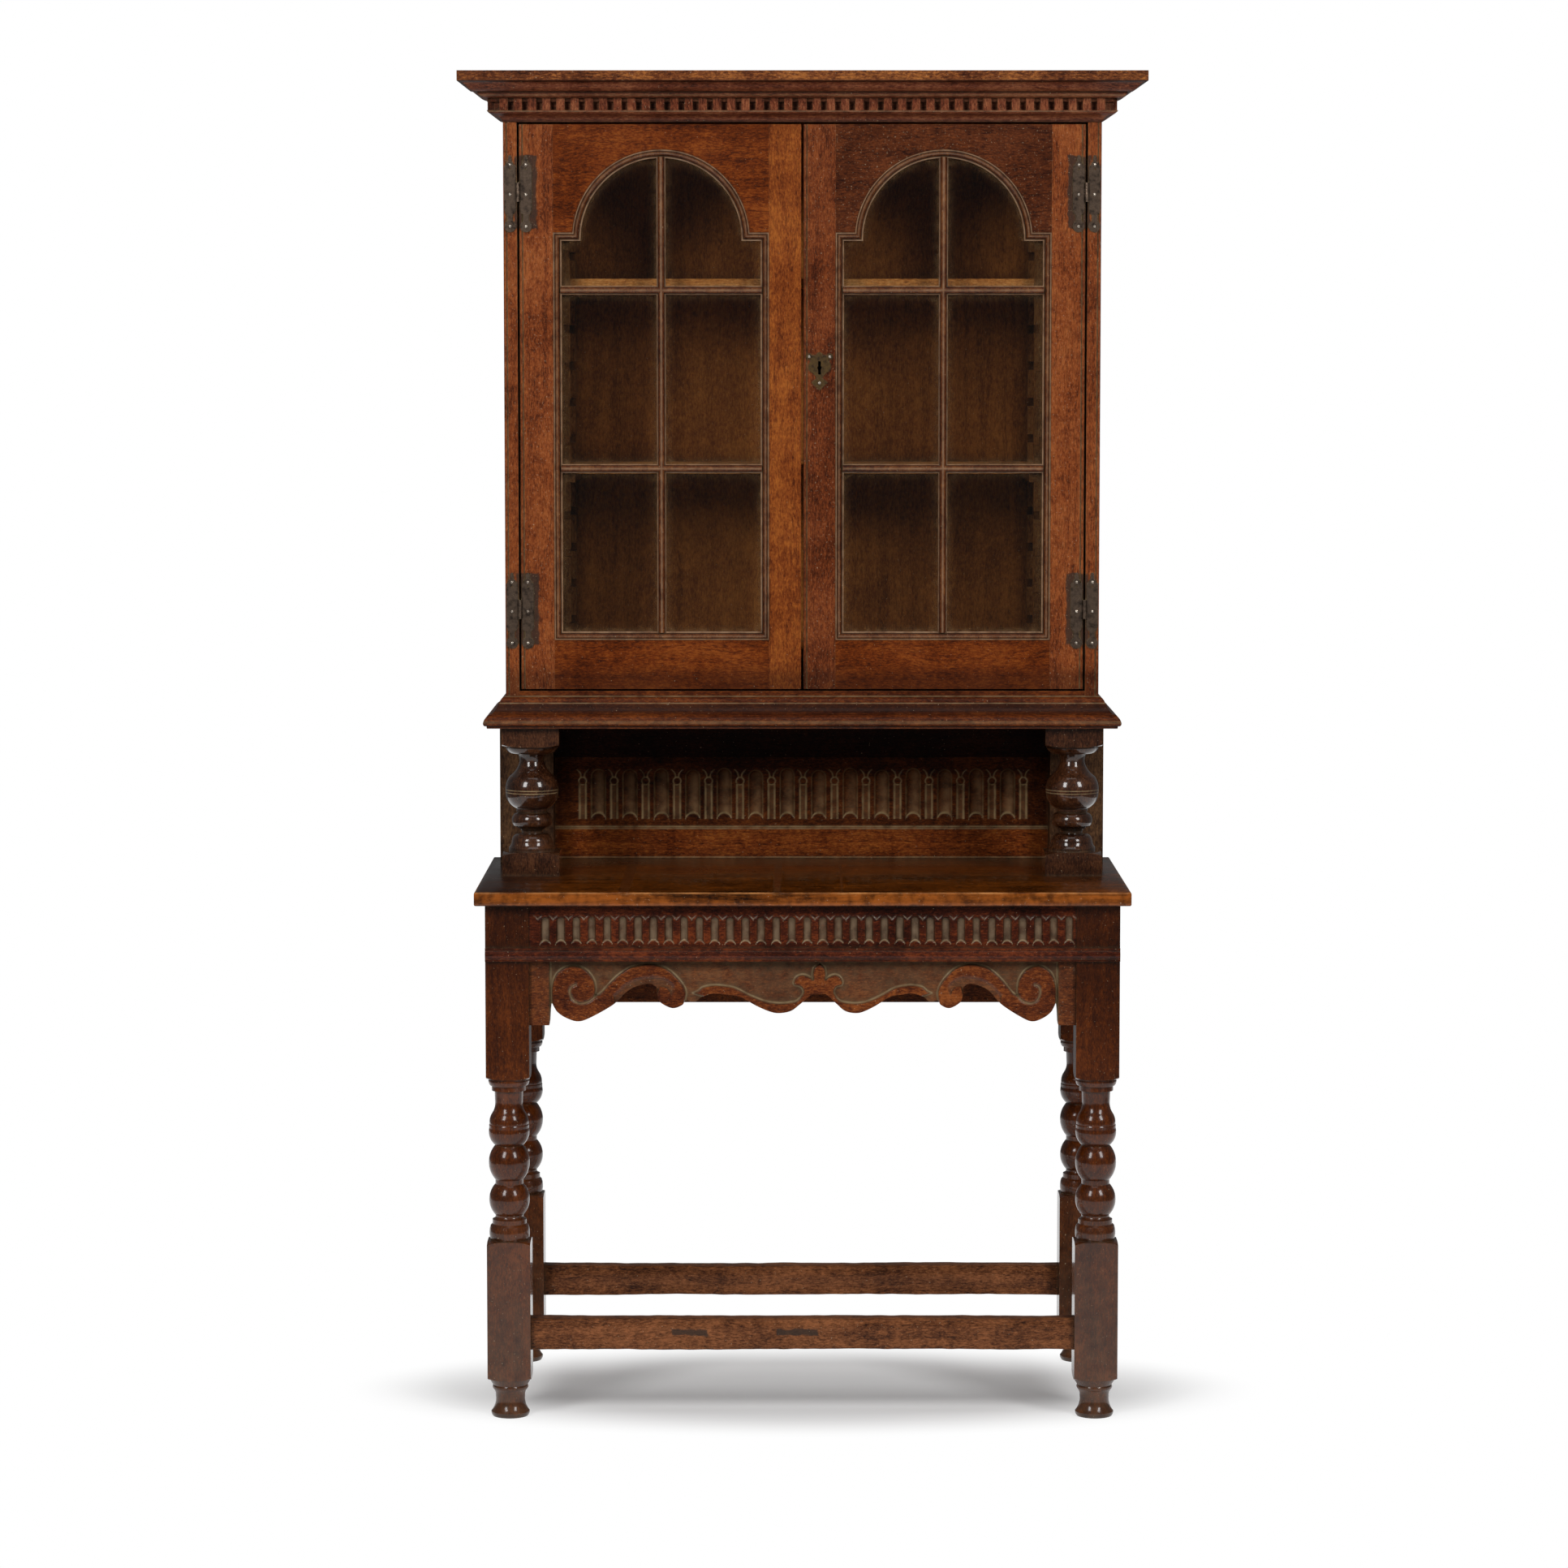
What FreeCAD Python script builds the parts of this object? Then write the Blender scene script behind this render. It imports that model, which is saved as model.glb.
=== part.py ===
import FreeCAD, Part
import math
import operator
import os
from types import SimpleNamespace

import Sketcher

# A glazed two-door bookcase on columns, standing on a turned side table.
# +X is to the right, +Y to the back, +Z up; the origin is on the floor under the middle of the piece.

Vector = FreeCAD.Vector
doc = FreeCAD.newDocument("BookcaseOnStand")
sheet = doc.addObject("Spreadsheet::Sheet", "Sizes")

DRIVING_SIZES = {
    # table top
    "table_width": 842,
    "table_depth": 420,
    "table_height": 690,
    "table_thick": 18,
    "table_bevel": 2.5,
    # legs, from the floor up: turned foot, low block, turning, high block
    "leg_square": 56,
    "leg_side_inset": 13,
    "leg_front_inset": 18,
    "leg_back_inset": 5,
    "foot_height": 50,
    "foot_radius": 25,
    "foot_neck_radius": 19,
    "foot_ring_radius": 22.5,
    "low_block_height": 182,
    "turning_length": 212,
    "ball_radius": 26.2,
    "waist_radius": 18.1,
    "neck_radius": 17.9,
    "collar_radius": 26.2,
    "pommel_drop": 6,
    # rails and stretchers between the legs
    "frieze_height": 73,
    "frieze_thick": 22,
    "frieze_setback": 2,
    "strip_height": 17,
    "strip_proud": 6,
    "apron_drop": 84,
    "apron_thick": 20,
    "apron_setback": 4,
    "apron_middle": 22,
    "rail_thick": 22,
    "rail_setback": 4,
    "side_rail_height": 152,
    "back_rail_height": 178,
    "stretcher_base": 90,
    "stretcher_height": 41,
    "stretcher_thick": 26,
    "stretcher_setback": 8,
    "stretcher_mould": 6,
    "peg_radius": 3.5,
    "peg_depth": 20,
    "peg_proud": 0.5,
    "peg_edge": 15,
    "peg_spacing": 30,
    # open stage between the table top and the cabinet
    "stage_height": 196,
    "column_setback": 184.5,
    "column_side_inset": 26,
    "column_square": 75,
    "column_base_height": 31,
    "column_cap_height": 26,
    "vase_radius": 34.9,
    "column_neck_radius": 16,
    "column_ring_radius": 27,
    "column_waist_radius": 13.8,
    "column_foot_radius": 30.8,
    "post_width": 72,
    "post_depth": 57,
    "post_side_inset": 13,
    "stage_back_thick": 11,
    "low_board_height": 42,
    "carved_board_height": 96,
    # cabinet carcass
    "cabinet_side_inset": 31,
    "cabinet_setback": 197,
    "cabinet_back_inset": 2,
    "side_thick": 18,
    "soffit_thick": 12,
    "floor_rise": 30,
    "floor_thick": 18,
    "ceiling_thick": 18,
    "plank_thick": 10,
    "base_height": 41,
    "base_reach": 28.6,
    "cornice_height": 64,
    "cornice_reach": 56,
    "top_board_thick": 12,
    "dentil_spacing": 18.46,
    "dentil_width": 10.6,
    "dentil_height": 16,
    "dentil_depth": 9.5,
    "fillet_height": 4.8,
    "fillet_depth": 5,
    # round bead worked along the upright edges of the front
    "bead_width": 4.2,
    "bead_quirk": 1.1,
    "bead_depth": 1.8,
    # shelves on notched uprights
    "upright_width": 67,
    "upright_thick": 20,
    "upright_gap": 3,
    "notch_first": 29.4,
    "notch_spacing": 48.8,
    "notch_height": 11,
    "notch_depth": 8,
    "bearer_width": 14,
    "bearer_ease": 0.4,
    "shelf_thick": 12,
    "shelf_ease": 1.5,
    # doors
    "door_height": 737,
    "door_thick": 22,
    "door_end_gap": 2.5,
    "door_side_gap": 2.6,
    "door_meeting_gap": 3,
    "hinge_stile_width": 44,
    "meeting_stile_width": 42,
    "bottom_rail_height": 64.5,
    "shoulder_height": 597,
    "arch_radius": 116,
    "arch_rise": 107.5,
    "sticking_width": 11,
    "bar_width": 11.7,
    "low_bar_height": 289.5,
    "high_bar_height": 522,
    "glazing_thick": 12,
    "glazing_setback": 1.5,
    "glass_thick": 2.5,
    "glass_ease": 0.3,
    # hinges with shaped leaves and dome nails
    "leaf_thick": 1.5,
    "leaf_width": 15,
    "leaf_start": 2.9,
    "leaf_body_height": 53,
    "barrel_radius": 2.5,
    "barrel_length": 25,
    "barrel_ease": 0.2,
    "pin_radius": 1.2,
    "pin_ease": 0.05,
    "upper_hinge_drop": 88,
    "lower_hinge_rise": 105,
    "nail_radius": 2.3,
    # lock, escutcheon and door bolts
    "lock_height": 421,
    "plate_thick": 1.5,
    "heart_width": 29.5,
    "key_slot_width": 3.6,
    "lock_case_width": 34,
    "lock_case_height": 58,
    "lock_case_depth": 12,
    "lock_edge_gap": 3,
    "latch_length": 26,
    "latch_height": 14,
    "latch_depth": 6,
    "latch_ease": 0.3,
    "latch_tip_recess": 1,
    "keeper_width": 16,
    "keeper_height": 26,
    "guide_width": 24,
    "guide_length": 84,
    "guide_plate_thick": 1.6,
    "staple_height": 9,
    "bolt_width": 9,
    "bolt_depth": 6,
    "bolt_length": 104,
    "bolt_edge_gap": 1,
    "bolt_knob_radius": 4,
    "bolt_socket_ease": 1,
    # how far a cutting solid runs past the face it opens
    "cut_past": 1,
}

SIGNS = {"+": operator.add, "-": operator.sub, "*": operator.mul, "/": operator.truediv}


class Size:
    """A length with its present value and the expression that ties it to the sheet."""

    def __init__(self, value, text):
        self.value = float(value)
        self.text = text

    def __add__(self, other):
        return combined(self, "+", other)

    def __radd__(self, other):
        return combined(other, "+", self)

    def __sub__(self, other):
        return combined(self, "-", other)

    def __rsub__(self, other):
        return combined(other, "-", self)

    def __mul__(self, other):
        return combined(self, "*", other)

    def __rmul__(self, other):
        return combined(other, "*", self)

    def __truediv__(self, other):
        return combined(self, "/", other)

    def __neg__(self):
        return combined(0, "-", self)

    def root(self):
        return Size(math.sqrt(self.value), f"sqrt({self.text})")


def as_size(value):
    return value if isinstance(value, Size) else Size(value, f"({float(value)!r})")


def combined(left, sign, right):
    left = as_size(left)
    right = as_size(right)
    return Size(SIGNS[sign](left.value, right.value), f"({left.text} {sign} {right.text})")


def read_sheet():
    """Fills the sheet, then hands back each alias as a Size."""
    for row, (alias, value) in enumerate(DRIVING_SIZES.items(), start=1):
        sheet.set(f"A{row}", alias)
        sheet.set(f"B{row}", str(value))
        sheet.setAlias(f"B{row}", alias)
    doc.recompute()
    return SimpleNamespace(**{alias: Size(sheet.get(alias), f"Sizes.{alias}") for alias in DRIVING_SIZES})


s = read_sheet()
pieces = []


def keep(label, piece):
    """Names a finished sub-part, which is then written out under that name."""
    piece.Label = label
    pieces.append(piece)
    return piece


def move(piece, x, y, z):
    for axis, size in zip("xyz", (x, y, z)):
        piece.setExpression(f"Placement.Base.{axis}", as_size(size).text)


def board(low, high):
    """A straight plank between two opposite corners."""
    plank = doc.addObject("Part::Box", "Plank")
    for side, start, end in zip(("Length", "Width", "Height"), low, high):
        plank.setExpression(side, (as_size(end) - start).text)
    move(plank, *low)
    return plank


TURN_TO_FRONT = FreeCAD.Rotation(Vector(1, 0, 0), 90)
TURN_TO_BACK = FreeCAD.Rotation(Vector(1, 0, 0), -90)
TURN_TO_SIDE = FreeCAD.Rotation(Vector(0, 1, 0), 90)


def rod(radius, length, base, turn=None):
    """A round rod from its base, along +Z unless it is turned."""
    cylinder = doc.addObject("Part::Cylinder", "Rod")
    cylinder.setExpression("Radius", as_size(radius).text)
    cylinder.setExpression("Height", as_size(length).text)
    if turn:
        cylinder.Placement = FreeCAD.Placement(Vector(), turn)
    move(cylinder, *base)
    return cylinder


def joined(members):
    fusion = doc.addObject("Part::MultiFuse", "Joined")
    fusion.Shapes = members
    return fusion


def cut(base, tool):
    difference = doc.addObject("Part::Cut", "Cut")
    difference.Base = base
    difference.Tool = tool
    return difference


def together(members):
    """A set of separate solids that share one sub-part."""
    compound = doc.addObject("Part::Compound", "Set")
    compound.Links = members
    return compound


def mirrored(source):
    """The right-hand twin of a left-hand piece."""
    twin = doc.addObject("Part::Mirroring", "Twin")
    twin.Source = source
    twin.Base = Vector(0, 0, 0)
    twin.Normal = Vector(1, 0, 0)
    return twin


def new_body(name):
    return doc.addObject("PartDesign::Body", name)


def origin_feature(body, role):
    return next(feature for feature in body.Origin.OriginFeatures if feature.Role == role)


def bulge_radius(start, end, rise):
    """Radius of the arc that stands off its chord by the given rise."""
    across = as_size(end[0]) - start[0]
    along = as_size(end[1]) - start[1]
    return ((across * across + along * along) / 4 + rise * rise) / (2 * as_size(rise))


def arc_between(start, end, radius, clockwise):
    """The shorter arc from start to end, which a sketch always holds counter-clockwise."""
    chord = end - start
    offset = math.sqrt(max(radius ** 2 - chord.Length ** 2 / 4, 0))
    left_normal = Vector(-chord.y, chord.x, 0).normalize()
    centre = (start + end) * 0.5 + left_normal * (-offset if clockwise else offset)
    angles = [math.atan2(point.y - centre.y, point.x - centre.x) for point in (start, end)]
    first, last = reversed(angles) if clockwise else angles
    return Part.ArcOfCircle(Part.Circle(centre, Vector(0, 0, 1), radius), first, last)


def draw_loop(sketch, points, arcs=None):
    """A closed outline; arcs maps the number of an edge to its radius and whether it runs clockwise."""
    arcs = arcs or {}
    corners = [Vector(as_size(x).value, as_size(y).value, 0) for x, y in points]
    edges = []
    for number, start in enumerate(corners):
        end = corners[(number + 1) % len(corners)]
        if number in arcs:
            radius, clockwise = arcs[number]
            shape = arc_between(start, end, radius.value, clockwise)
            tips = (2, 1) if clockwise else (1, 2)
        else:
            shape = Part.LineSegment(start, end)
            tips = (1, 2)
        edges.append((sketch.addGeometry(shape, False), tips))
    bonds = []
    for number, (edge, tips) in enumerate(edges):
        following, next_tips = edges[(number + 1) % len(edges)]
        bonds.append(Sketcher.Constraint("Coincident", edge, tips[1], following, next_tips[0]))
    sketch.addConstraint(bonds)
    for (edge, tips), place in zip(edges, points):
        for kind, size in zip(("DistanceX", "DistanceY"), place):
            size = as_size(size)
            bond = sketch.addConstraint(Sketcher.Constraint(kind, -1, 1, edge, tips[0], size.value))
            sketch.setExpression(f"Constraints[{bond}]", size.text)
    for number, (radius, _) in arcs.items():
        bond = sketch.addConstraint(Sketcher.Constraint("Radius", edges[number][0], radius.value))
        sketch.setExpression(f"Constraints[{bond}]", radius.text)


def sketch_on(body, role, loops, lift=None):
    """A sketch of closed loops on one of the body's own origin planes, lifted along the plane's normal."""
    sketch = body.newObject("Sketcher::SketchObject", "Outline")
    sketch.AttachmentSupport = [(origin_feature(body, role), "")]
    sketch.MapMode = "FlatFace"
    if lift is not None:
        sketch.setExpression("AttachmentOffset.Base.z", as_size(lift).text)
    for points, arcs in loops:
        draw_loop(sketch, points, arcs)
    return sketch


def pad(body, sketch, length):
    feature = body.newObject("PartDesign::Pad", "Pad")
    feature.Profile = sketch
    feature.setExpression("Length", as_size(length).text)
    return feature


def pocket(body, sketch, depth, reverse=False):
    feature = body.newObject("PartDesign::Pocket", "Pocket")
    feature.Profile = sketch
    feature.Reversed = reverse
    feature.setExpression("Length", as_size(depth).text)
    return feature


def turned(body, kind, sketch):
    """A revolution or a groove about the sketch's upright axis."""
    feature = body.newObject(f"PartDesign::{kind}", kind)
    feature.Profile = sketch
    feature.ReferenceAxis = (sketch, ["V_Axis"])
    feature.Angle = 360
    return feature


def square_loop(side):
    half = side / 2
    return [(-half, -half), (half, -half), (half, half), (-half, half)], None


def plate_from_outline(name, points, arcs, thickness):
    """A flat piece cut to an outline in X and Z; it grows towards the front from its own origin."""
    body = new_body(name)
    pad(body, sketch_on(body, "XZ_Plane", [(points, arcs)]), thickness)
    return body


def stations_loop(stations):
    """Outline of a turning: (radius, height, rise of the curve to the next station, negative if hollow)."""
    points = [(radius, height) for radius, height, _ in stations]
    arcs = {}
    for number, (_, _, rise) in enumerate(stations):
        if rise is not None:
            rise = as_size(rise)
            hollow = rise.value < 0
            stand_off = -rise if hollow else rise
            arcs[number] = (bulge_radius(points[number], points[number + 1], stand_off), hollow)
    return points, arcs


def turned_post(name, side, stations, blocks):
    """A lathe-turned post with square blocks; blocks are (base, top, round below, round above)."""
    body = new_body(name)
    turned(body, "Revolution", sketch_on(body, "XZ_Plane", [stations_loop(stations)]))
    for base, top, round_below, round_above in blocks:
        pad(body, sketch_on(body, "XY_Plane", [square_loop(side)], base), top - base)
        for wanted, end, way in ((round_below, base, 1), (round_above, top, -1)):
            if wanted:
                inner = side / 2
                outer = side * 0.75
                far = end + s.pommel_drop * way
                corners = [(inner, end), (outer, end), (outer, far)]
                arcs = {2: (bulge_radius(corners[2], corners[0], s.pommel_drop / 4), way > 0)}
                turned(body, "Groove", sketch_on(body, "XZ_Plane", [(corners, arcs)]))
    return body


# Places that several pieces share
front = -s.table_depth / 2
back = s.table_depth / 2
table_under = s.table_height - s.table_thick
leg_outer = s.table_width / 2 - s.leg_side_inset
leg_inner = leg_outer - s.leg_square
leg_front = front + s.leg_front_inset
leg_front_inner = leg_front + s.leg_square
leg_back = back - s.leg_back_inset
leg_back_inner = leg_back - s.leg_square
low_block_top = s.foot_height + s.low_block_height
high_block_base = low_block_top + s.turning_length


def leg_stations():
    """The foot, a core inside the low block, then collar, three balls and a bell under the high block."""
    foot = s.foot_height
    length = s.turning_length
    start = low_block_top
    half = s.leg_square / 2
    waist = s.waist_radius
    ball = s.ball_radius - waist
    collar = s.collar_radius * 0.94
    fillet = waist * 1.22
    return [
        (0, 0, None),
        (s.foot_radius * 0.92, 0, foot * 0.012),
        (s.foot_radius, foot * 0.12, foot * -0.044),
        (s.foot_neck_radius, foot * 0.52, foot * -0.024),
        (s.foot_ring_radius, foot * 0.72, foot * 0.016),
        (s.foot_ring_radius, foot * 0.82, None),
        (half, foot, None),
        (waist, foot, None),
        (waist, start, None),
        (collar, start, s.collar_radius - collar),
        (collar, start + length * 0.088, None),
        (fillet, start + length * 0.1, None),
        (fillet, start + length * 0.127, length * -0.004),
        (waist, start + length * 0.143, None),
        (waist, start + length * 0.153, ball),
        (waist, start + length * 0.345, None),
        (waist, start + length * 0.372, ball * 1.04),
        (waist, start + length * 0.584, ball * 0.42),
        (s.ball_radius * 0.985, start + length * 0.69, None),
        (s.ball_radius * 0.985, start + length * 0.708, None),
        (s.ball_radius * 0.965, start + length * 0.714, ball * 0.16),
        (s.neck_radius * 1.21, start + length * 0.782, ball * -0.16),
        (s.neck_radius, start + length * 0.85, None),
        (s.neck_radius * 1.03, start + length * 0.917, None),
        (fillet, start + length * 0.922, None),
        (fillet, start + length * 0.95, None),
        (collar, start + length * 0.955, ball * 0.1),
        (s.collar_radius, start + length * 0.99, None),
        (s.collar_radius, start + length, None),
        (0, start + length, None),
    ]


def peg_places(sign_y):
    """Peg centres in a leg's two outward faces: a pair for each rail and one for each stretcher."""
    heights = [table_under - s.peg_spacing / 2, table_under - s.peg_spacing * 1.5,
               s.stretcher_base + s.stretcher_height / 2]
    face_y = leg_front if sign_y < 0 else leg_back
    edge_y = leg_front_inner - s.peg_edge if sign_y < 0 else leg_back_inner + s.peg_edge
    turn = TURN_TO_BACK if sign_y < 0 else TURN_TO_FRONT
    places = []
    for height in heights:
        places.append(((-(leg_inner + s.peg_edge), face_y, height), turn, sign_y))
        places.append(((-leg_outer, edge_y, height), TURN_TO_SIDE, 0))
    return places


def peg_rods(sign_y, radius, proud):
    rods = []
    for (x, y, z), turn, facing in peg_places(sign_y):
        start_y = y + facing * proud if facing else y
        start_x = x if facing else x - proud
        rods.append(rod(radius, s.peg_depth + proud, (start_x, start_y, z), turn))
    return rods


def build_legs():
    pegs = []
    for side_y, sign_y, centre_y in (("front", -1, leg_front + s.leg_square / 2),
                                     ("back", 1, leg_back - s.leg_square / 2)):
        blocks = [(s.foot_height, low_block_top, True, True), (high_block_base, table_under, True, False)]
        blank = turned_post("Leg", s.leg_square, leg_stations(), blocks)
        move(blank, -(leg_outer - s.leg_square / 2), centre_y, 0)
        leg = cut(blank, together(peg_rods(sign_y, s.peg_radius + s.pin_ease, as_size(0))))
        keep(f"leg_{side_y}_left", leg)
        keep(f"leg_{side_y}_right", mirrored(leg))
        left_pegs = together(peg_rods(sign_y, s.peg_radius, s.peg_proud))
        pegs += [left_pegs, mirrored(left_pegs)]
    keep("frame_pegs", together(pegs))


def build_rails():
    frieze_base = table_under - s.frieze_height
    rail_front = leg_front + s.frieze_setback
    keep("frieze_rail", board((-leg_inner, rail_front, frieze_base),
                              (leg_inner, rail_front + s.frieze_thick, table_under)))
    strip = new_body("Strip")
    tall = s.strip_height
    proud = s.strip_proud
    points = [(0, 0), (0, tall), (-proud * 0.75, tall), (-proud * 0.75, tall * 0.88), (-proud * 0.6, tall * 0.8),
              (-proud * 0.7, tall * 0.2), (-proud * 0.85, tall * 0.14), (-proud * 0.85, 0)]
    arcs = {4: (bulge_radius(points[4], points[5], proud * 0.33), False)}
    pad(strip, sketch_on(strip, "YZ_Plane", [(points, arcs)]), leg_outer * 2)
    move(strip, -leg_outer, leg_front, frieze_base)
    keep("frieze_moulding", strip)
    side_outer = leg_outer - s.rail_setback
    side_rail = board((-side_outer, leg_front_inner, table_under - s.side_rail_height),
                      (s.rail_thick - side_outer, leg_back_inner, table_under))
    keep("side_rails", together([side_rail, mirrored(side_rail)]))
    rail_back = leg_back - s.rail_setback
    keep("back_rail", board((-leg_inner, rail_back - s.rail_thick, table_under - s.back_rail_height),
                            (leg_inner, rail_back, table_under)))


APRON_CURVES = (
    # big scroll and the stem that rises from it
    ((0.922, 0.664), (0.874, 0.875), (0.831, 0.936), (0.787, 0.875), (0.707, 0.67), (0.653, 0.448),
     (0.59, 0.357), (0.553, 0.483)),
    # small scroll at the stem's end
    ((0.553, 0.483), (0.547, 0.646), (0.506, 0.731), (0.474, 0.69), (0.462, 0.622)),
    # long rim down to the lobe beside the middle notch
    ((0.462, 0.622), (0.43, 0.644), (0.401, 0.556), (0.366, 0.508), (0.31, 0.524), (0.218, 0.694),
     (0.138, 0.808), (0.064, 0.658), (0.025, 0.52)),
)
BRACKET_CORNER = (0.93, 1.0)


def apron_half(way, middle, reach, drop):
    """Lower edge of one half, set out as shares of its reach from the carving's middle and of its drop."""

    def place(across, down):
        return Vector(middle + way * reach * across, 0, -drop * down)

    edges = [Part.makeLine(place(1, 1), place(*BRACKET_CORNER)),
             Part.makeLine(place(*BRACKET_CORNER), place(*APRON_CURVES[0][0]))]
    for points in APRON_CURVES:
        curve = Part.BSplineCurve()
        curve.interpolate([place(*point) for point in points])
        edges.append(curve.toShape())
    return edges, place(*APRON_CURVES[-1][-1])


def build_apron():
    """A sawn board with scrolls along its lower edge; the carving's middle is a little right of the centre."""
    half = leg_inner.value
    middle = s.apron_middle.value
    drop = s.apron_drop.value
    left_edges, left_notch = apron_half(-1, middle, half + middle, drop)
    right_edges, right_notch = apron_half(1, middle, half - middle, drop)
    corners = [Vector(half, 0, -drop), Vector(half, 0, 0), Vector(-half, 0, 0), Vector(-half, 0, -drop)]
    straight = [Part.makeLine(start, end) for start, end in zip(corners, corners[1:])]
    notch = Part.makeLine(left_notch, right_notch)
    outline = Part.Wire(Part.__sortEdges__(straight + left_edges + [notch] + right_edges))
    apron = doc.addObject("Part::Feature", "Apron")
    apron.Shape = Part.Face(outline).extrude(Vector(0, s.apron_thick.value, 0))
    move(apron, 0, leg_front + s.apron_setback, table_under - s.frieze_height)
    keep("apron", apron)


def stretcher(length):
    """A bar along X with a rounded moulding on its upper outward edge; outward is towards -Y."""
    thick = s.stretcher_thick
    tall = s.stretcher_height
    step = s.stretcher_mould
    points = [(0, 0), (thick, 0), (thick, tall), (step, tall), (step, tall - step / 6), (0, tall - step)]
    arcs = {4: (bulge_radius(points[4], points[5], step * 0.2), False)}
    body = new_body("Stretcher")
    pad(body, sketch_on(body, "YZ_Plane", [(points, arcs)]), length)
    return body


def build_stretchers():
    long_bar = stretcher(leg_inner * 2)
    move(long_bar, -leg_inner, leg_front + s.stretcher_setback, s.stretcher_base)
    back_bar = stretcher(leg_inner * 2)
    move(back_bar, -leg_inner, leg_back - s.stretcher_setback - s.stretcher_thick, s.stretcher_base)
    keep("long_stretchers", together([long_bar, back_bar]))
    side_bar = stretcher(leg_back_inner - leg_front_inner)
    side_bar.Placement = FreeCAD.Placement(Vector(), FreeCAD.Rotation(Vector(0, 0, 1), -90))
    move(side_bar, -(leg_outer - s.stretcher_setback), leg_back_inner, s.stretcher_base)
    keep("side_stretchers", together([side_bar, mirrored(side_bar)]))


def build_table_top():
    """One wide board with its upper edges eased."""
    body = new_body("TableTop")
    half_x = s.table_width / 2
    corners = [(-half_x, front), (half_x, front), (half_x, back), (-half_x, back)]
    slab = pad(body, sketch_on(body, "XY_Plane", [(corners, None)]), s.table_thick)
    doc.recompute()
    top_face = max(range(len(slab.Shape.Faces)), key=lambda face: slab.Shape.Faces[face].CenterOfMass.z)
    bevel = body.newObject("PartDesign::Chamfer", "Bevel")
    bevel.Base = (slab, [f"Face{top_face + 1}"])
    bevel.setExpression("Size", s.table_bevel.text)
    move(body, 0, 0, table_under)
    keep("table_top", body)


stage_top = s.table_height + s.stage_height
cabinet_back = back - s.cabinet_back_inset
column_front = front + s.column_setback
post_front = cabinet_back - s.post_depth
post_outer = s.table_width / 2 - s.post_side_inset


def column_stations():
    """Spread foot, waist, ring, vase and neck, then a dished disc under the column's cap block."""
    start = s.column_base_height
    length = s.stage_height - s.column_base_height - s.column_cap_height
    waist = s.column_waist_radius
    ring = s.column_ring_radius
    neck = s.column_neck_radius
    vase = s.vase_radius
    base = s.column_foot_radius
    cap = s.column_square * 0.46
    sunk = length * 0.015
    return [
        (0, start - sunk, None),
        (base, start - sunk, None),
        (base, start + length * 0.03, length * -0.006),
        (base * 0.88, start + length * 0.085, length * 0.022),
        (waist * 1.2, start + length * 0.165, None),
        (waist, start + length * 0.172, None),
        (waist, start + length * 0.186, None),
        (waist * 1.12, start + length * 0.2, None),
        (ring * 0.92, start + length * 0.24, ring * 0.1),
        (ring * 0.87, start + length * 0.35, None),
        (neck * 1.19, start + length * 0.367, None),
        (neck * 1.3, start + length * 0.377, None),
        (neck * 1.3, start + length * 0.4, vase * 0.118),
        (vase, start + length * 0.561, vase * 0.057),
        (vase * 0.85, start + length * 0.707, vase * -0.066),
        (neck, start + length * 0.85, vase * -0.012),
        (neck * 1.13, start + length * 0.919, None),
        (cap * 0.75, start + length * 0.926, cap * 0.05),
        (cap, start + length * 0.985, None),
        (cap, start + length + sunk, None),
        (0, start + length + sunk, None),
    ]


def build_stage():
    top = s.stage_height
    blocks = [(as_size(0), s.column_base_height, False, True), (top - s.column_cap_height, top, True, False)]
    column = turned_post("Column", s.column_square, column_stations(), blocks)
    outer = s.table_width / 2 - s.column_side_inset
    move(column, -(outer - s.column_square / 2), column_front + s.column_square / 2, s.table_height)
    keep("stage_columns", together([column, mirrored(column)]))
    post = board((-post_outer, post_front, s.table_height), (s.post_width - post_outer, cabinet_back, stage_top))
    keep("rear_posts", together([post, mirrored(post)]))
    inner = post_outer - s.post_width
    face = cabinet_back - s.stage_back_thick
    levels = [s.table_height, s.table_height + s.low_board_height,
              s.table_height + s.low_board_height + s.carved_board_height, stage_top]
    names = ("stage_bottom_board", "carved_back_board", "stage_top_rail")
    for name, low, high in zip(names, levels, levels[1:]):
        keep(name, board((-inner, face, low), (inner, cabinet_back, high)))


cabinet_half = s.table_width / 2 - s.cabinet_side_inset
cabinet_front = front + s.cabinet_setback
inside_half = cabinet_half - s.side_thick
floor_top = stage_top + s.floor_rise + s.floor_thick
door_base = floor_top + s.door_end_gap
ceiling_under = door_base + s.door_height + s.door_end_gap
top_board_under = ceiling_under + s.cornice_height - s.top_board_thick
planks_front = cabinet_back - s.plank_thick
bolt_x = -(s.door_meeting_gap / 2 + s.meeting_stile_width / 2)
bolt_y = cabinet_front + s.door_thick + s.guide_plate_thick + s.latch_ease
PLANK_COUNT = 5


def bolt_socket(low, high):
    """Room for the end of a door bolt in the board above or below the door."""
    ease = s.bolt_socket_ease
    return board((bolt_x - s.bolt_width / 2 - ease, bolt_y - ease, low),
                 (bolt_x + s.bolt_width / 2 + ease, bolt_y + s.bolt_depth + ease, high))


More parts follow.
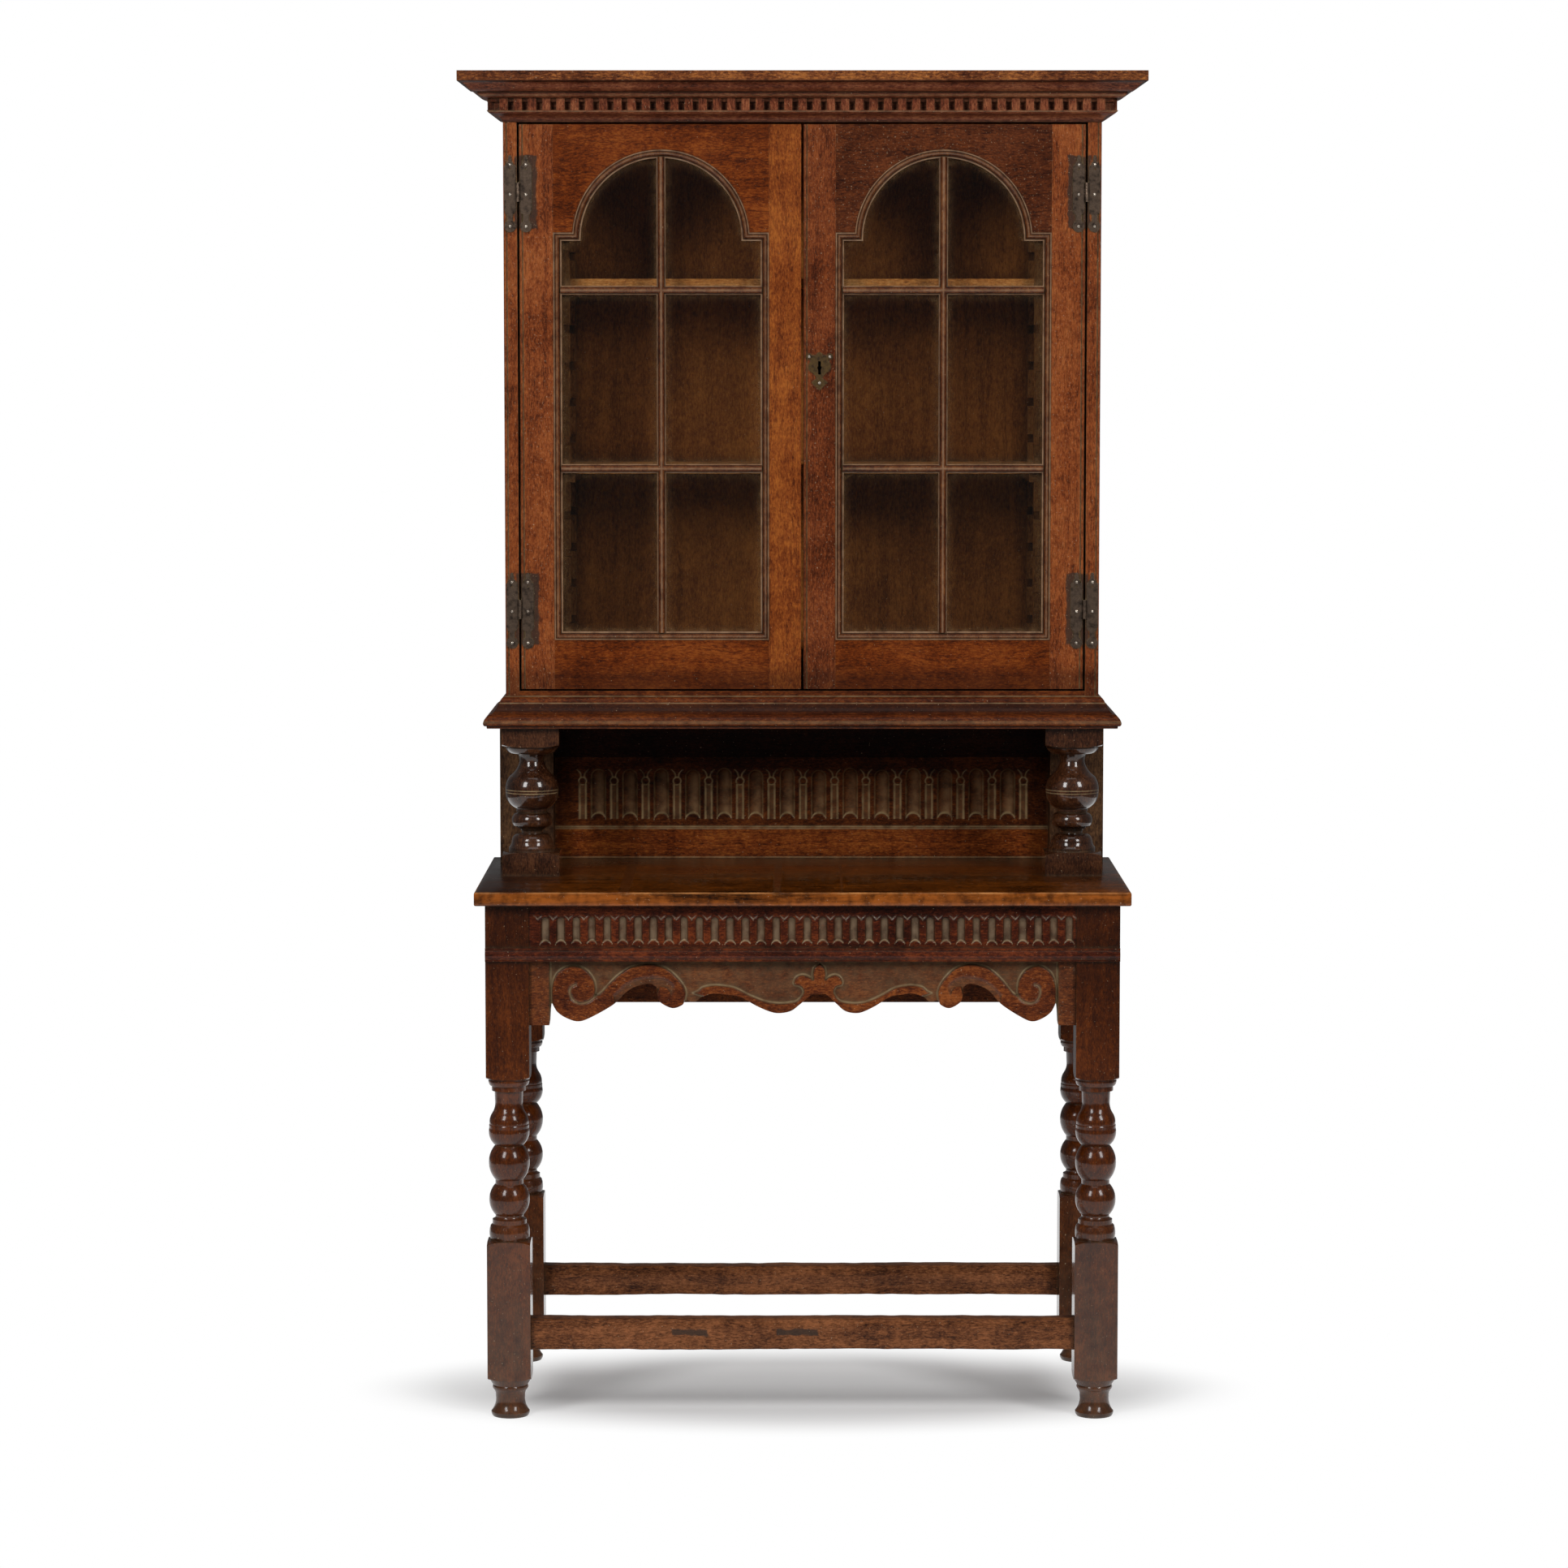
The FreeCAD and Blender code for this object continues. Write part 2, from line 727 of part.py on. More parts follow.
def edge_bead(edge_x, low, high):
    """What is planed off to leave a round bead along an upright front edge, just right of that edge."""
    past = s.cut_past
    depth = s.bead_depth
    quirk_end = s.bead_width + s.bead_quirk
    points = [(-past, -past), (quirk_end, -past), (quirk_end, depth), (s.bead_width, depth), (0, depth),
              (-past, depth)]
    body = new_body("EdgeBead")
    crown = bulge_radius(points[3], points[4], depth)
    pad(body, sketch_on(body, "XY_Plane", [(points, {3: (crown, True)})]), high - low)
    move(body, edge_x, cabinet_front, low)
    return body


def build_carcass():
    soffit_top = stage_top + s.soffit_thick
    keep("soffit_board", board((-cabinet_half, cabinet_front, stage_top), (cabinet_half, cabinet_back, soffit_top)))
    side = board((-cabinet_half, cabinet_front, soffit_top), (-inside_half, cabinet_back, top_board_under))
    beaded = cut(side, edge_bead(-cabinet_half, stage_top + s.base_height, ceiling_under))
    keep("cabinet_sides", together([beaded, mirrored(beaded)]))
    floor_under = stage_top + s.floor_rise
    floor_board = board((-inside_half, cabinet_front, floor_under), (inside_half, planks_front, floor_top))
    keep("cabinet_floor", cut(floor_board, bolt_socket(floor_under, floor_top)))
    ceiling_top = ceiling_under + s.ceiling_thick
    ceiling = board((-inside_half, cabinet_front, ceiling_under), (inside_half, planks_front, ceiling_top))
    keep("cabinet_ceiling", cut(ceiling, bolt_socket(ceiling_under, ceiling_top)))
    width = inside_half * 2 / PLANK_COUNT
    planks = []
    for number in range(PLANK_COUNT):
        left = width * number - inside_half
        planks.append(board((left, planks_front, soffit_top), (left + width, cabinet_back, top_board_under)))
    keep("back_boards", together(planks))
    reach = cabinet_half + s.cornice_reach
    keep("top_board", board((-reach, cabinet_front - s.cornice_reach, top_board_under),
                            (reach, cabinet_back, top_board_under + s.top_board_thick)))


def mitred_moulding(name, outline, reach, height, length, mitre_start):
    """A moulding along +X whose outline stands out towards -Y, with one or both ends mitred."""
    points, arcs = outline
    body = new_body(name)
    pad(body, sketch_on(body, "YZ_Plane", [(points, arcs)]), length)
    past = s.cut_past
    ends = [[(length + past, -reach - past), (length - reach - past, past), (length + past, past)]]
    if mitre_start:
        ends.append([(-past, -reach - past), (-past, past), (reach + past, past)])
    mitres = sketch_on(body, "XY_Plane", [(corners, None) for corners in ends])
    pocket(body, mitres, height, reverse=True)
    return body


def moulding_set(prefix, outline, reach, height, base):
    """Front length and a pair of returns round the cabinet."""
    front_length = mitred_moulding("Front", outline, reach, height, cabinet_half * 2 + reach * 2, True)
    move(front_length, -(cabinet_half + reach), cabinet_front, base)
    keep(f"{prefix}_front", front_length)
    depth = cabinet_back - cabinet_front
    side = mitred_moulding("Return", outline, reach, height, depth + reach, False)
    side.Placement = FreeCAD.Placement(Vector(), FreeCAD.Rotation(Vector(0, 0, 1), -90))
    move(side, -cabinet_half, cabinet_back, base)
    keep(f"{prefix}_sides", together([side, mirrored(side)]))


def base_outline():
    """Small ovolo, then a broad hollow running into a nose over a thin fillet."""
    reach = s.base_reach
    tall = s.base_height
    points = [(0, 0), (0, tall), (-reach * 0.29, tall * 0.79), (-reach * 0.325, tall * 0.775),
              (-reach * 0.61, tall * 0.465), (-reach, tall * 0.185), (-reach * 0.94, tall * 0.085),
              (-reach * 0.85, tall * 0.075), (-reach * 0.83, 0)]
    arcs = {
        1: (bulge_radius(points[1], points[2], reach * 0.065), False),
        3: (bulge_radius(points[3], points[4], reach * 0.04), True),
        4: (bulge_radius(points[4], points[5], reach * 0.085), False),
        5: (bulge_radius(points[5], points[6], reach * 0.02), False),
    }
    return points, arcs


dentil_shelf = s.cornice_height * 0.23
dentil_face = s.cornice_reach * 0.18
dentil_top = dentil_shelf + s.dentil_height
fillet_low = dentil_top - s.fillet_height
fillet_face = dentil_face + s.fillet_depth


def cornice_outline():
    """Hollow bed, ledge for the dentils, band and fillet behind them, ovolo and cyma under the top board."""
    reach = s.cornice_reach
    tall = s.cornice_height - s.top_board_thick
    ledge = dentil_face + s.dentil_depth
    points = [(0, 0), (0, tall), (-reach, tall), (-reach, tall * 0.98), (-reach * 0.8, tall * 0.86),
              (-reach * 0.59, tall * 0.73), (-reach * 0.55, tall * 0.73), (-reach * 0.55, tall * 0.69),
              (-ledge, dentil_top), (-fillet_face, dentil_top), (-fillet_face, fillet_low),
              (-dentil_face, fillet_low), (-dentil_face, dentil_shelf), (-ledge, dentil_shelf),
              (-reach * 0.2, tall * 0.19)]
    arcs = {
        3: (bulge_radius(points[3], points[4], reach * 0.025), True),
        4: (bulge_radius(points[4], points[5], reach * 0.025), False),
        7: (bulge_radius(points[7], points[8], reach * 0.03), False),
        13: (bulge_radius(points[13], points[14], reach * 0.03), False),
        14: (bulge_radius(points[14], points[0], reach * 0.04), True),
    }
    return points, arcs


def build_mouldings():
    moulding_set("base_moulding", base_outline(), s.base_reach, s.base_height, stage_top)
    cornice_tall = s.cornice_height - s.top_board_thick
    moulding_set("cornice", cornice_outline(), s.cornice_reach, cornice_tall, ceiling_under)
    low = ceiling_under + dentil_shelf
    high = low + s.dentil_height
    half = s.dentil_width / 2
    near = cabinet_front - dentil_face
    across = int(cabinet_half.value / s.dentil_spacing.value)
    dentils = []
    for number in range(-across, across + 1):
        middle = s.dentil_spacing * number
        dentils.append(board((middle - half, near - s.dentil_depth, low), (middle + half, near, high)))
    depth = cabinet_back - cabinet_front
    side_x = -(cabinet_half + dentil_face)
    for number in range(int(depth.value / s.dentil_spacing.value)):
        middle = cabinet_front + half + s.dentil_spacing * number
        tooth = board((side_x - s.dentil_depth, middle - half, low), (side_x, middle + half, high))
        dentils += [tooth, mirrored(tooth)]
    rebate_low = ceiling_under + fillet_low
    front_rebate = board((side_x, near - s.fillet_depth, rebate_low), (-side_x, near, high))
    side_rebate = board((side_x - s.fillet_depth, cabinet_front, rebate_low), (side_x, cabinet_back, high))
    rebates = together([front_rebate, side_rebate, mirrored(side_rebate)])
    keep("dentils", cut(together(dentils), rebates))


upright_front = cabinet_front + s.door_thick + s.upright_gap
SHELF_NOTCHES = {"lower": 0, "middle": 5, "upper": 10}


def notched_upright(place_y):
    """A board standing in the cabinet's corner with a ladder of notches down its inward edge."""
    height = ceiling_under - floor_top
    body = new_body("Upright")
    foot = [(0, 0), (s.upright_width, 0), (s.upright_width, s.upright_thick), (0, s.upright_thick)]
    pad(body, sketch_on(body, "XY_Plane", [(foot, None)]), height)
    deep = s.upright_width - s.notch_depth
    past = s.upright_width + s.cut_past
    notch_top = s.notch_first + s.notch_height
    mouth = [(deep, s.notch_first), (past, s.notch_first), (past, notch_top), (deep, notch_top)]
    notch = pocket(body, sketch_on(body, "XZ_Plane", [(mouth, None)]), s.upright_thick)
    notches = body.newObject("PartDesign::LinearPattern", "Notches")
    notches.Originals = [notch]
    notches.Direction = (origin_feature(body, "Z_Axis"), [""])
    spare = height.value - s.notch_first.value - s.notch_height.value
    count = int(spare / s.notch_spacing.value) + 1
    notches.Occurrences = count
    notches.setExpression("Length", (s.notch_spacing * (count - 1)).text)
    body.Tip = notches
    move(body, -inside_half, place_y, floor_top)
    return body


def shelf_board(bearer_top):
    """A shelf notched at its back corners to clear the rear uprights."""
    ease = s.shelf_ease
    length = inside_half * 2 - ease * 2
    near = upright_front + s.upright_thick + ease
    depth = planks_front - ease - near
    notch_x = s.upright_width
    notch_y = planks_front - s.upright_thick - ease - near
    corners = [(0, 0), (length, 0), (length, notch_y), (length - notch_x, notch_y),
               (length - notch_x, depth), (notch_x, depth), (notch_x, notch_y), (0, notch_y)]
    body = new_body("Shelf")
    pad(body, sketch_on(body, "XY_Plane", [(corners, None)]), s.shelf_thick)
    move(body, ease - inside_half, near, bearer_top)
    return body


def build_shelves():
    uprights = [notched_upright(place) for place in (upright_front, planks_front - s.upright_thick)]
    keep("shelf_uprights", together(uprights + [mirrored(upright) for upright in uprights]))
    outer = inside_half - s.upright_width + s.notch_depth
    bearers = []
    for level, number in SHELF_NOTCHES.items():
        low = floor_top + s.notch_first + s.notch_spacing * number
        high = low + s.notch_height - s.bearer_ease
        bearer = board((-outer, upright_front, low), (s.bearer_width - outer, planks_front, high))
        bearers += [bearer, mirrored(bearer)]
        keep(f"shelf_{level}", shelf_board(high))
    keep("shelf_bearers", together(bearers))


door_left = -(inside_half - s.door_side_gap)
door_right = -s.door_meeting_gap / 2
door_back = cabinet_front + s.door_thick
door_top = door_base + s.door_height
light_left = door_left + s.hinge_stile_width
light_right = door_right - s.meeting_stile_width
light_width = light_right - light_left
arch_half = (s.arch_rise * (s.arch_radius * 2 - s.arch_rise)).root()
arch_centre = s.shoulder_height + s.arch_rise - s.arch_radius
light_middle = light_width / 2


def arched_light(inset, half_bar, low):
    """Right-hand top light, inset from the glazed opening and from the middle bar."""
    radius = s.arch_radius - inset
    shoulder = s.shoulder_height - inset
    drop = shoulder - arch_centre
    reach = (radius * radius - drop * drop).root()
    crown = arch_centre + (radius * radius - half_bar * half_bar).root()
    points = [(light_middle + half_bar, low), (light_width - inset, low), (light_width - inset, shoulder),
              (light_middle + reach, shoulder), (light_middle + half_bar, crown)]
    return points, {3: (radius, False)}


def plain_light(inset, half_bar, low, high):
    points = [(light_middle + half_bar, low), (light_width - inset, low),
              (light_width - inset, high), (light_middle + half_bar, high)]
    return points, None


def flipped(loop):
    """The same light on the other side of the middle bar."""
    points, arcs = loop
    turned_arcs = {edge: (radius, not clockwise) for edge, (radius, clockwise) in (arcs or {}).items()}
    return [(light_width - x, z) for x, z in points], turned_arcs


def light_loops(inset, half_bar):
    """The six lights of one door, from the top row down."""
    rows = [
        arched_light(inset, half_bar, s.high_bar_height + half_bar),
        plain_light(inset, half_bar, s.low_bar_height + half_bar, s.high_bar_height - half_bar),
        plain_light(inset, half_bar, s.bottom_rail_height + inset, s.low_bar_height - half_bar),
    ]
    return [loop for row in rows for loop in (row, flipped(row))]


def build_top_rail():
    """The door's top rail, sawn to a shouldered round arch."""
    shoulder = s.shoulder_height
    points = [(0, shoulder), (light_middle - arch_half, shoulder), (light_middle + arch_half, shoulder),
              (light_width, shoulder), (light_width, s.door_height), (0, s.door_height)]
    rail = plate_from_outline("TopRail", points, {1: (s.arch_radius, True)}, s.door_thick)
    move(rail, light_left, door_back, door_base)
    return rail


def build_glazing():
    """The moulded frame round the lights with its bars, and the panes bedded behind it."""
    low = s.bottom_rail_height
    shoulder = s.shoulder_height
    rim = [(0, low), (light_width, low), (light_width, shoulder), (light_middle + arch_half, shoulder),
           (light_middle - arch_half, shoulder), (0, shoulder)]
    bars = plate_from_outline("GlazingBars", rim, {3: (s.arch_radius, False)}, s.glazing_thick)
    openings = sketch_on(bars, "XZ_Plane", light_loops(s.sticking_width, s.bar_width / 2))
    pocket(bars, openings, s.glazing_thick, reverse=True)
    bars_back = cabinet_front + s.glazing_setback + s.glazing_thick
    move(bars, light_left, bars_back, door_base)
    panes = []
    for points, arcs in light_loops(s.glass_ease, s.glass_ease):
        pane = plate_from_outline("Pane", points, arcs, s.glass_thick)
        move(pane, light_left, bars_back + s.glass_thick, door_base)
        panes.append(pane)
    return bars, together(panes)


hinge_x = -(inside_half - s.door_side_gap / 2)
hinge_y = cabinet_front - s.barrel_radius
hinge_heights = (door_base + s.lower_hinge_rise, door_top - s.upper_hinge_drop)


def leaf_disc(way, radius, across, height):
    return rod(radius, s.leaf_thick, (hinge_x + across * way, cabinet_front, height), TURN_TO_FRONT)


def leaf_bar(way, near, far, low, high):
    """A straight part of a leaf, from near to far off the pin's line."""
    ends = sorted((hinge_x + near * way, hinge_x + far * way), key=lambda size: size.value)
    return board((ends[0], cabinet_front - s.leaf_thick, low), (ends[1], cabinet_front, high))


def hinge_leaf(way, centre, barrels):
    """One shaped leaf: a straight body, a three-lobed head with a tip, and a waist ending in a ball."""
    near = as_size(s.leaf_start)
    far = near + s.leaf_width
    middle = near + s.leaf_width / 2
    body_low = centre - s.leaf_body_height * 0.45
    body_high = centre + s.leaf_body_height * 0.55
    lobe = s.leaf_width / 4.4
    ball = s.leaf_width / 2
    ball_height = body_low - s.leaf_width * 1.35
    members = [
        leaf_bar(way, near, far, body_low, body_high),
        leaf_disc(way, lobe, near + lobe, body_high + lobe * 0.8),
        leaf_disc(way, lobe, far - lobe, body_high + lobe * 0.8),
        leaf_disc(way, lobe * 1.35, middle, body_high + lobe * 2),
        leaf_disc(way, lobe * 0.75, middle, body_high + lobe * 4),
        leaf_bar(way, middle - lobe * 0.5, middle + lobe * 0.5, body_high + lobe * 4, body_high + lobe * 5.4),
        leaf_disc(way, lobe, near + lobe * 1.3, body_low - lobe * 0.4),
        leaf_disc(way, lobe, far - lobe * 1.3, body_low - lobe * 0.4),
        leaf_bar(way, middle - lobe, middle + lobe, ball_height, body_low),
        leaf_disc(way, ball, middle, ball_height),
    ]
    for low, high in barrels:
        members.append(leaf_bar(way, as_size(0), near, low, high))
        members.append(rod(s.barrel_radius, high - low, (hinge_x, hinge_y, low)))
    eye = rod(s.pin_radius + s.pin_ease, s.barrel_length * 2, (hinge_x, hinge_y, centre - s.barrel_length))
    return cut(joined(members), eye)


CAP_LATITUDE = 27.4
CAP_SPHERE = 1 / math.cos(math.radians(CAP_LATITUDE))
CAP_OFFSET = math.tan(math.radians(CAP_LATITUDE))


def dome_nail(x, y, z):
    """The round head of a nail, standing out towards the front from the face at y."""
    head = doc.addObject("Part::Sphere", "NailHead")
    head.setExpression("Radius", (s.nail_radius * CAP_SPHERE).text)
    head.Angle1 = CAP_LATITUDE
    head.Placement = FreeCAD.Placement(Vector(), TURN_TO_FRONT)
    move(head, x, y + s.nail_radius * CAP_OFFSET, z)
    return head


def leaf_nails(way, centre):
    middle = s.leaf_start + s.leaf_width / 2
    body_low = centre - s.leaf_body_height * 0.45
    body_high = centre + s.leaf_body_height * 0.55
    heights = (body_high + s.leaf_width * 0.45, centre - s.leaf_body_height * 0.05, body_low - s.leaf_width * 1.35)
    return [dome_nail(hinge_x + middle * way, cabinet_front - s.leaf_thick, height) for height in heights]


def build_hinges():
    """Two hinges for each door: the frame leaf holds the outer knuckles, the door leaf the middle one."""
    frame_leaves, door_leaves, pins, frame_nails, door_nails = [], [], [], [], []
    half = s.barrel_length / 2
    third = s.barrel_length / 6
    for centre in hinge_heights:
        outer = [(centre - half, centre - third - s.barrel_ease), (centre + third + s.barrel_ease, centre + half)]
        frame_leaves.append(hinge_leaf(-1, centre, outer))
        door_leaves.append(hinge_leaf(1, centre, [(centre - third, centre + third)]))
        pins.append(rod(s.pin_radius, s.barrel_length, (hinge_x, hinge_y, centre - half)))
        frame_nails += leaf_nails(-1, centre)
        door_nails += leaf_nails(1, centre)
    for label, members in (("frame_hinge_leaves", frame_leaves), ("hinge_pins", pins),
                           ("frame_hinge_nails", frame_nails)):
        left = together(members)
        keep(label, together([left, mirrored(left)]))
    return together(door_leaves), together(door_nails)


lock_x = s.door_meeting_gap / 2 + s.meeting_stile_width / 2
lock_z = door_base + s.lock_height


def key_slot(depth, start_y):
    """Keyhole: a round eye with a slot above and below it."""
    slot = s.key_slot_width
    tall = slot * 2.4
    bar = board((lock_x - slot / 2, start_y, lock_z - tall), (lock_x + slot / 2, start_y + depth, lock_z + tall))
    eye = rod(slot * 0.8, depth, (lock_x, start_y, lock_z), TURN_TO_BACK)
    return joined([bar, eye])


def plate_disc(radius, across, up):
    return rod(radius, s.plate_thick, (lock_x + across, cabinet_front, lock_z + up), TURN_TO_FRONT)


def build_escutcheon():
    """A heart-shaped key plate with three lobes over it and a pointed trefoil below."""
    width = s.heart_width
    lobe = width * 0.13
    point = [(-width * 0.47, 0), (0, -width * 0.56), (width * 0.47, 0), (0, width * 0.3)]
    heart_tip = plate_from_outline("HeartTip", point, None, s.plate_thick)
    move(heart_tip, lock_x, cabinet_front, lock_z)
    trefoil = [(-width * 0.36, -width * 0.64), (0, -width * 0.98), (width * 0.36, -width * 0.64),
               (0, -width * 0.4)]
    trefoil_tip = plate_from_outline("TrefoilTip", trefoil, None, s.plate_thick)
    move(trefoil_tip, lock_x, cabinet_front, lock_z)
    members = [
        heart_tip,
        trefoil_tip,
        plate_disc(width * 0.27, -width * 0.23, width * 0.05),
        plate_disc(width * 0.27, width * 0.23, width * 0.05),
        plate_disc(lobe, as_size(0), width * 0.56),
        plate_disc(lobe, -width * 0.46, width * 0.5),
        plate_disc(lobe, width * 0.46, width * 0.5),
        plate_disc(lobe * 1.2, -width * 0.25, width * 0.4),
        plate_disc(lobe * 1.2, width * 0.25, width * 0.4),
        plate_disc(lobe * 1.3, as_size(0), width * 0.38),
        plate_disc(lobe * 1.1, as_size(0), -width * 0.66),
    ]
    plate = joined(members)
    keep("escutcheon", cut(plate, key_slot(s.plate_thick * 3, cabinet_front - s.plate_thick * 2)))
    face = cabinet_front - s.plate_thick
    return [dome_nail(lock_x + width * across, face, lock_z + width * up)
            for across, up in ((-0.46, 0.5), (0.46, 0.5), (0.0, -0.66))]


def build_lock():
    """A cased lock behind the right-hand meeting stile and its keeper behind the left-hand one."""
    ease = s.latch_ease
    case_left = s.door_meeting_gap / 2 + s.lock_edge_gap
    low = lock_z - s.lock_case_height / 2
    case = board((case_left, door_back, low),
                 (case_left + s.lock_case_width, door_back + s.lock_case_depth, low + s.lock_case_height))
    latch_low = lock_z - s.latch_height / 2
    latch_left = case_left + s.latch_tip_recess
    latch_front = door_back + (s.lock_case_depth - s.latch_depth) / 2
    latch_back = latch_front + s.latch_depth
    channel = board((case_left - s.cut_past, latch_front - ease, latch_low - ease),
                    (latch_left + s.latch_length + ease, latch_back + ease, latch_low + s.latch_height + ease))
    keep("lock_case", cut(case, channel))
    keep("lock_bolt", board((latch_left, latch_front, latch_low),
                            (latch_left + s.latch_length, latch_back, latch_low + s.latch_height)))
    keeper_right = -(s.door_meeting_gap / 2 + s.lock_edge_gap)
    keeper_low = lock_z - s.keeper_height / 2
    keeper = board((keeper_right - s.keeper_width, door_back, keeper_low),
                   (keeper_right, door_back + s.lock_case_depth, keeper_low + s.keeper_height))
    room = s.bolt_socket_ease
    mouth = board((keeper_right - s.keeper_width - s.cut_past, latch_front - room, latch_low - room),
                  (keeper_right + s.cut_past, latch_back + room, latch_low + s.latch_height + room))
    keep("lock_keeper", cut(keeper, mouth))


def door_bolt(way, door_end):
    """A sliding bolt on a plate with two staples; way is +1 for the top bolt and -1 for the bottom one."""

    def ends(near, far):
        return (near, far) if way > 0 else (far, near)

    guide_end = door_end - s.bolt_edge_gap * 4 * way
    plate_low, plate_high = ends(guide_end - s.guide_length * way, guide_end)
    half = s.guide_width / 2
    ease = s.latch_ease
    plate_back = door_back + s.guide_plate_thick
    staple_back = bolt_y + s.bolt_depth + ease + s.guide_plate_thick
    members = [board((bolt_x - half, door_back, plate_low), (bolt_x + half, plate_back, plate_high))]
    for low in (plate_low, plate_high - s.staple_height):
        members.append(board((bolt_x - half, plate_back, low), (bolt_x + half, staple_back, low + s.staple_height)))
    channel = board((bolt_x - s.bolt_width / 2 - ease, plate_back, plate_low - s.cut_past),
                    (bolt_x + s.bolt_width / 2 + ease, bolt_y + s.bolt_depth + ease, plate_high + s.cut_past))
    guide = cut(joined(members), channel)
    bolt_end = door_end - s.bolt_edge_gap * way
    bolt_low, bolt_high = ends(bolt_end - s.bolt_length * way, bolt_end)
    bar = board((bolt_x - s.bolt_width / 2, bolt_y, bolt_low),
                (bolt_x + s.bolt_width / 2, bolt_y + s.bolt_depth, bolt_high))
    knob_z = guide_end - s.guide_length / 2 * way
    knob = rod(s.bolt_knob_radius, s.bolt_depth * 2, (bolt_x, bolt_y + s.bolt_depth / 2, knob_z), TURN_TO_BACK)
    return guide, joined([bar, knob])


def build_doors():
    plain_stile = board((door_left, cabinet_front, door_base), (light_left, door_back, door_top))
    hinge_stile = cut(plain_stile, edge_bead(door_left, door_base, door_top))
    meeting_stile = board((light_right, cabinet_front, door_base), (door_right, door_back, door_top))
    bottom_rail = board((light_left, cabinet_front, door_base),
                        (light_right, door_back, door_base + s.bottom_rail_height))
    top_rail = build_top_rail()
    bars, panes = build_glazing()
    leaves, nails = build_hinges()
    plain_parts = {"hinge_stile": hinge_stile, "top_rail": top_rail, "bottom_rail": bottom_rail,
                   "glazing_bars": bars, "glass": panes, "hinge_leaves": leaves}
    for name, part in plain_parts.items():
        keep(f"left_door_{name}", part)
        keep(f"right_door_{name}", mirrored(part))
    keep("left_door_meeting_stile", meeting_stile)
    beaded_stile = cut(mirrored(meeting_stile), edge_bead(-door_right, door_base, door_top))
    keyed_stile = cut(beaded_stile, key_slot(s.door_thick * 2, cabinet_front - s.door_thick / 2))
    keep("right_door_meeting_stile", keyed_stile)
    keep("left_door_nails", nails)
    keep("right_door_nails", together([mirrored(nails)] + build_escutcheon()))
    build_lock()
    top_guide, top_bolt = door_bolt(1, door_top)
    bottom_guide, bottom_bolt = door_bolt(-1, door_base)
    keep("bolt_guides", together([top_guide, bottom_guide]))
    keep("top_bolt", top_bolt)
    keep("bottom_bolt", bottom_bolt)


def check_document():
    """Every object has to compute, and every sub-part has to be a sound solid."""
    for thing in doc.Objects:
        if "Invalid" in thing.State or "Error" in thing.State:
            raise RuntimeError(f"{thing.Name} ({thing.Label}) failed: {thing.State}")
    for piece in pieces:
        if piece.Shape.isNull() or not piece.Shape.isValid() or not piece.Shape.Solids:
            raise RuntimeError(f"{piece.Label} is not a sound solid")


build_legs()
build_rails()
build_apron()
build_stretchers()
build_table_top()
build_stage()
build_carcass()
build_mouldings()
build_shelves()
build_doors()
doc.recompute()
check_document()

os.makedirs("parts", exist_ok=True)
for piece in pieces:
    piece.Shape.exportStep(f"parts/{piece.Label}.step")
print(len(pieces), "sub-parts written")
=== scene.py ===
import math

import bmesh
import bpy
import numpy as np
from mathutils import Matrix, Vector, noise


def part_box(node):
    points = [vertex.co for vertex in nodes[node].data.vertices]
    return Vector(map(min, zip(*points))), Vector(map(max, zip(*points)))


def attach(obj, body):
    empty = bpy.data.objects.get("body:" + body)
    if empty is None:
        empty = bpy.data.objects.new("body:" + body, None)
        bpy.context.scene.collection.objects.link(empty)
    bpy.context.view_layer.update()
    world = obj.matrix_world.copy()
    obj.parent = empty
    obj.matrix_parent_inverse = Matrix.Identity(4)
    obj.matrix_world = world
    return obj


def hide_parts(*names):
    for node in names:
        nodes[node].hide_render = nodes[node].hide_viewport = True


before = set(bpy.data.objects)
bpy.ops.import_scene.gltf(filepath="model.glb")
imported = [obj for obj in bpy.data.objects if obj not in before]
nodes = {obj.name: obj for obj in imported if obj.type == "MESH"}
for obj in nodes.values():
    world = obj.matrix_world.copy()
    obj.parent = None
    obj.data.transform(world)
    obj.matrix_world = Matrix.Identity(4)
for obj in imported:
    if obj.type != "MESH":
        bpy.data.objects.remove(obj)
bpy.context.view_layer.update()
scene = bpy.context.scene
scene.view_settings.view_transform = "Standard"
mm = 0.001


def toLinear(hexText):
    channels = [int(hexText[i:i + 2], 16) / 255 for i in (1, 3, 5)]
    return (*[c / 12.92 if c <= 0.04045 else ((c + 0.055) / 1.055) ** 2.4 for c in channels], 1.0)


def addNode(tree, kind, settings=None, **inputs):
    # one node with its settings; inputs go by name, or by number as i0, i1 and so on
    node = tree.nodes.new(kind)
    for name, value in (settings or {}).items():
        if name == "stops":  # colours along a ramp
            while len(node.color_ramp.elements) < len(value):
                node.color_ramp.elements.new(1.0)
            for element, (place, colour) in zip(node.color_ramp.elements, value):
                element.position = place
                element.color = colour
        elif name == "span":  # from, to, least, most of a range
            for socket, number in zip(node.inputs[1:5], value):
                socket.default_value = number
        else:
            setattr(node, name, value)
    for name, value in inputs.items():
        socket = node.inputs[int(name[1:]) if name[1:].isdigit() else name.replace("_", " ")]
        if isinstance(value, bpy.types.NodeSocket):
            tree.links.new(value, socket)
        else:
            socket.default_value = value
    return node.outputs[0] if len(node.outputs) == 1 else node.outputs


def newMaterial(name):
    material = bpy.data.materials.new(name)
    material.use_nodes = True
    material.node_tree.nodes.clear()
    return material, material.node_tree


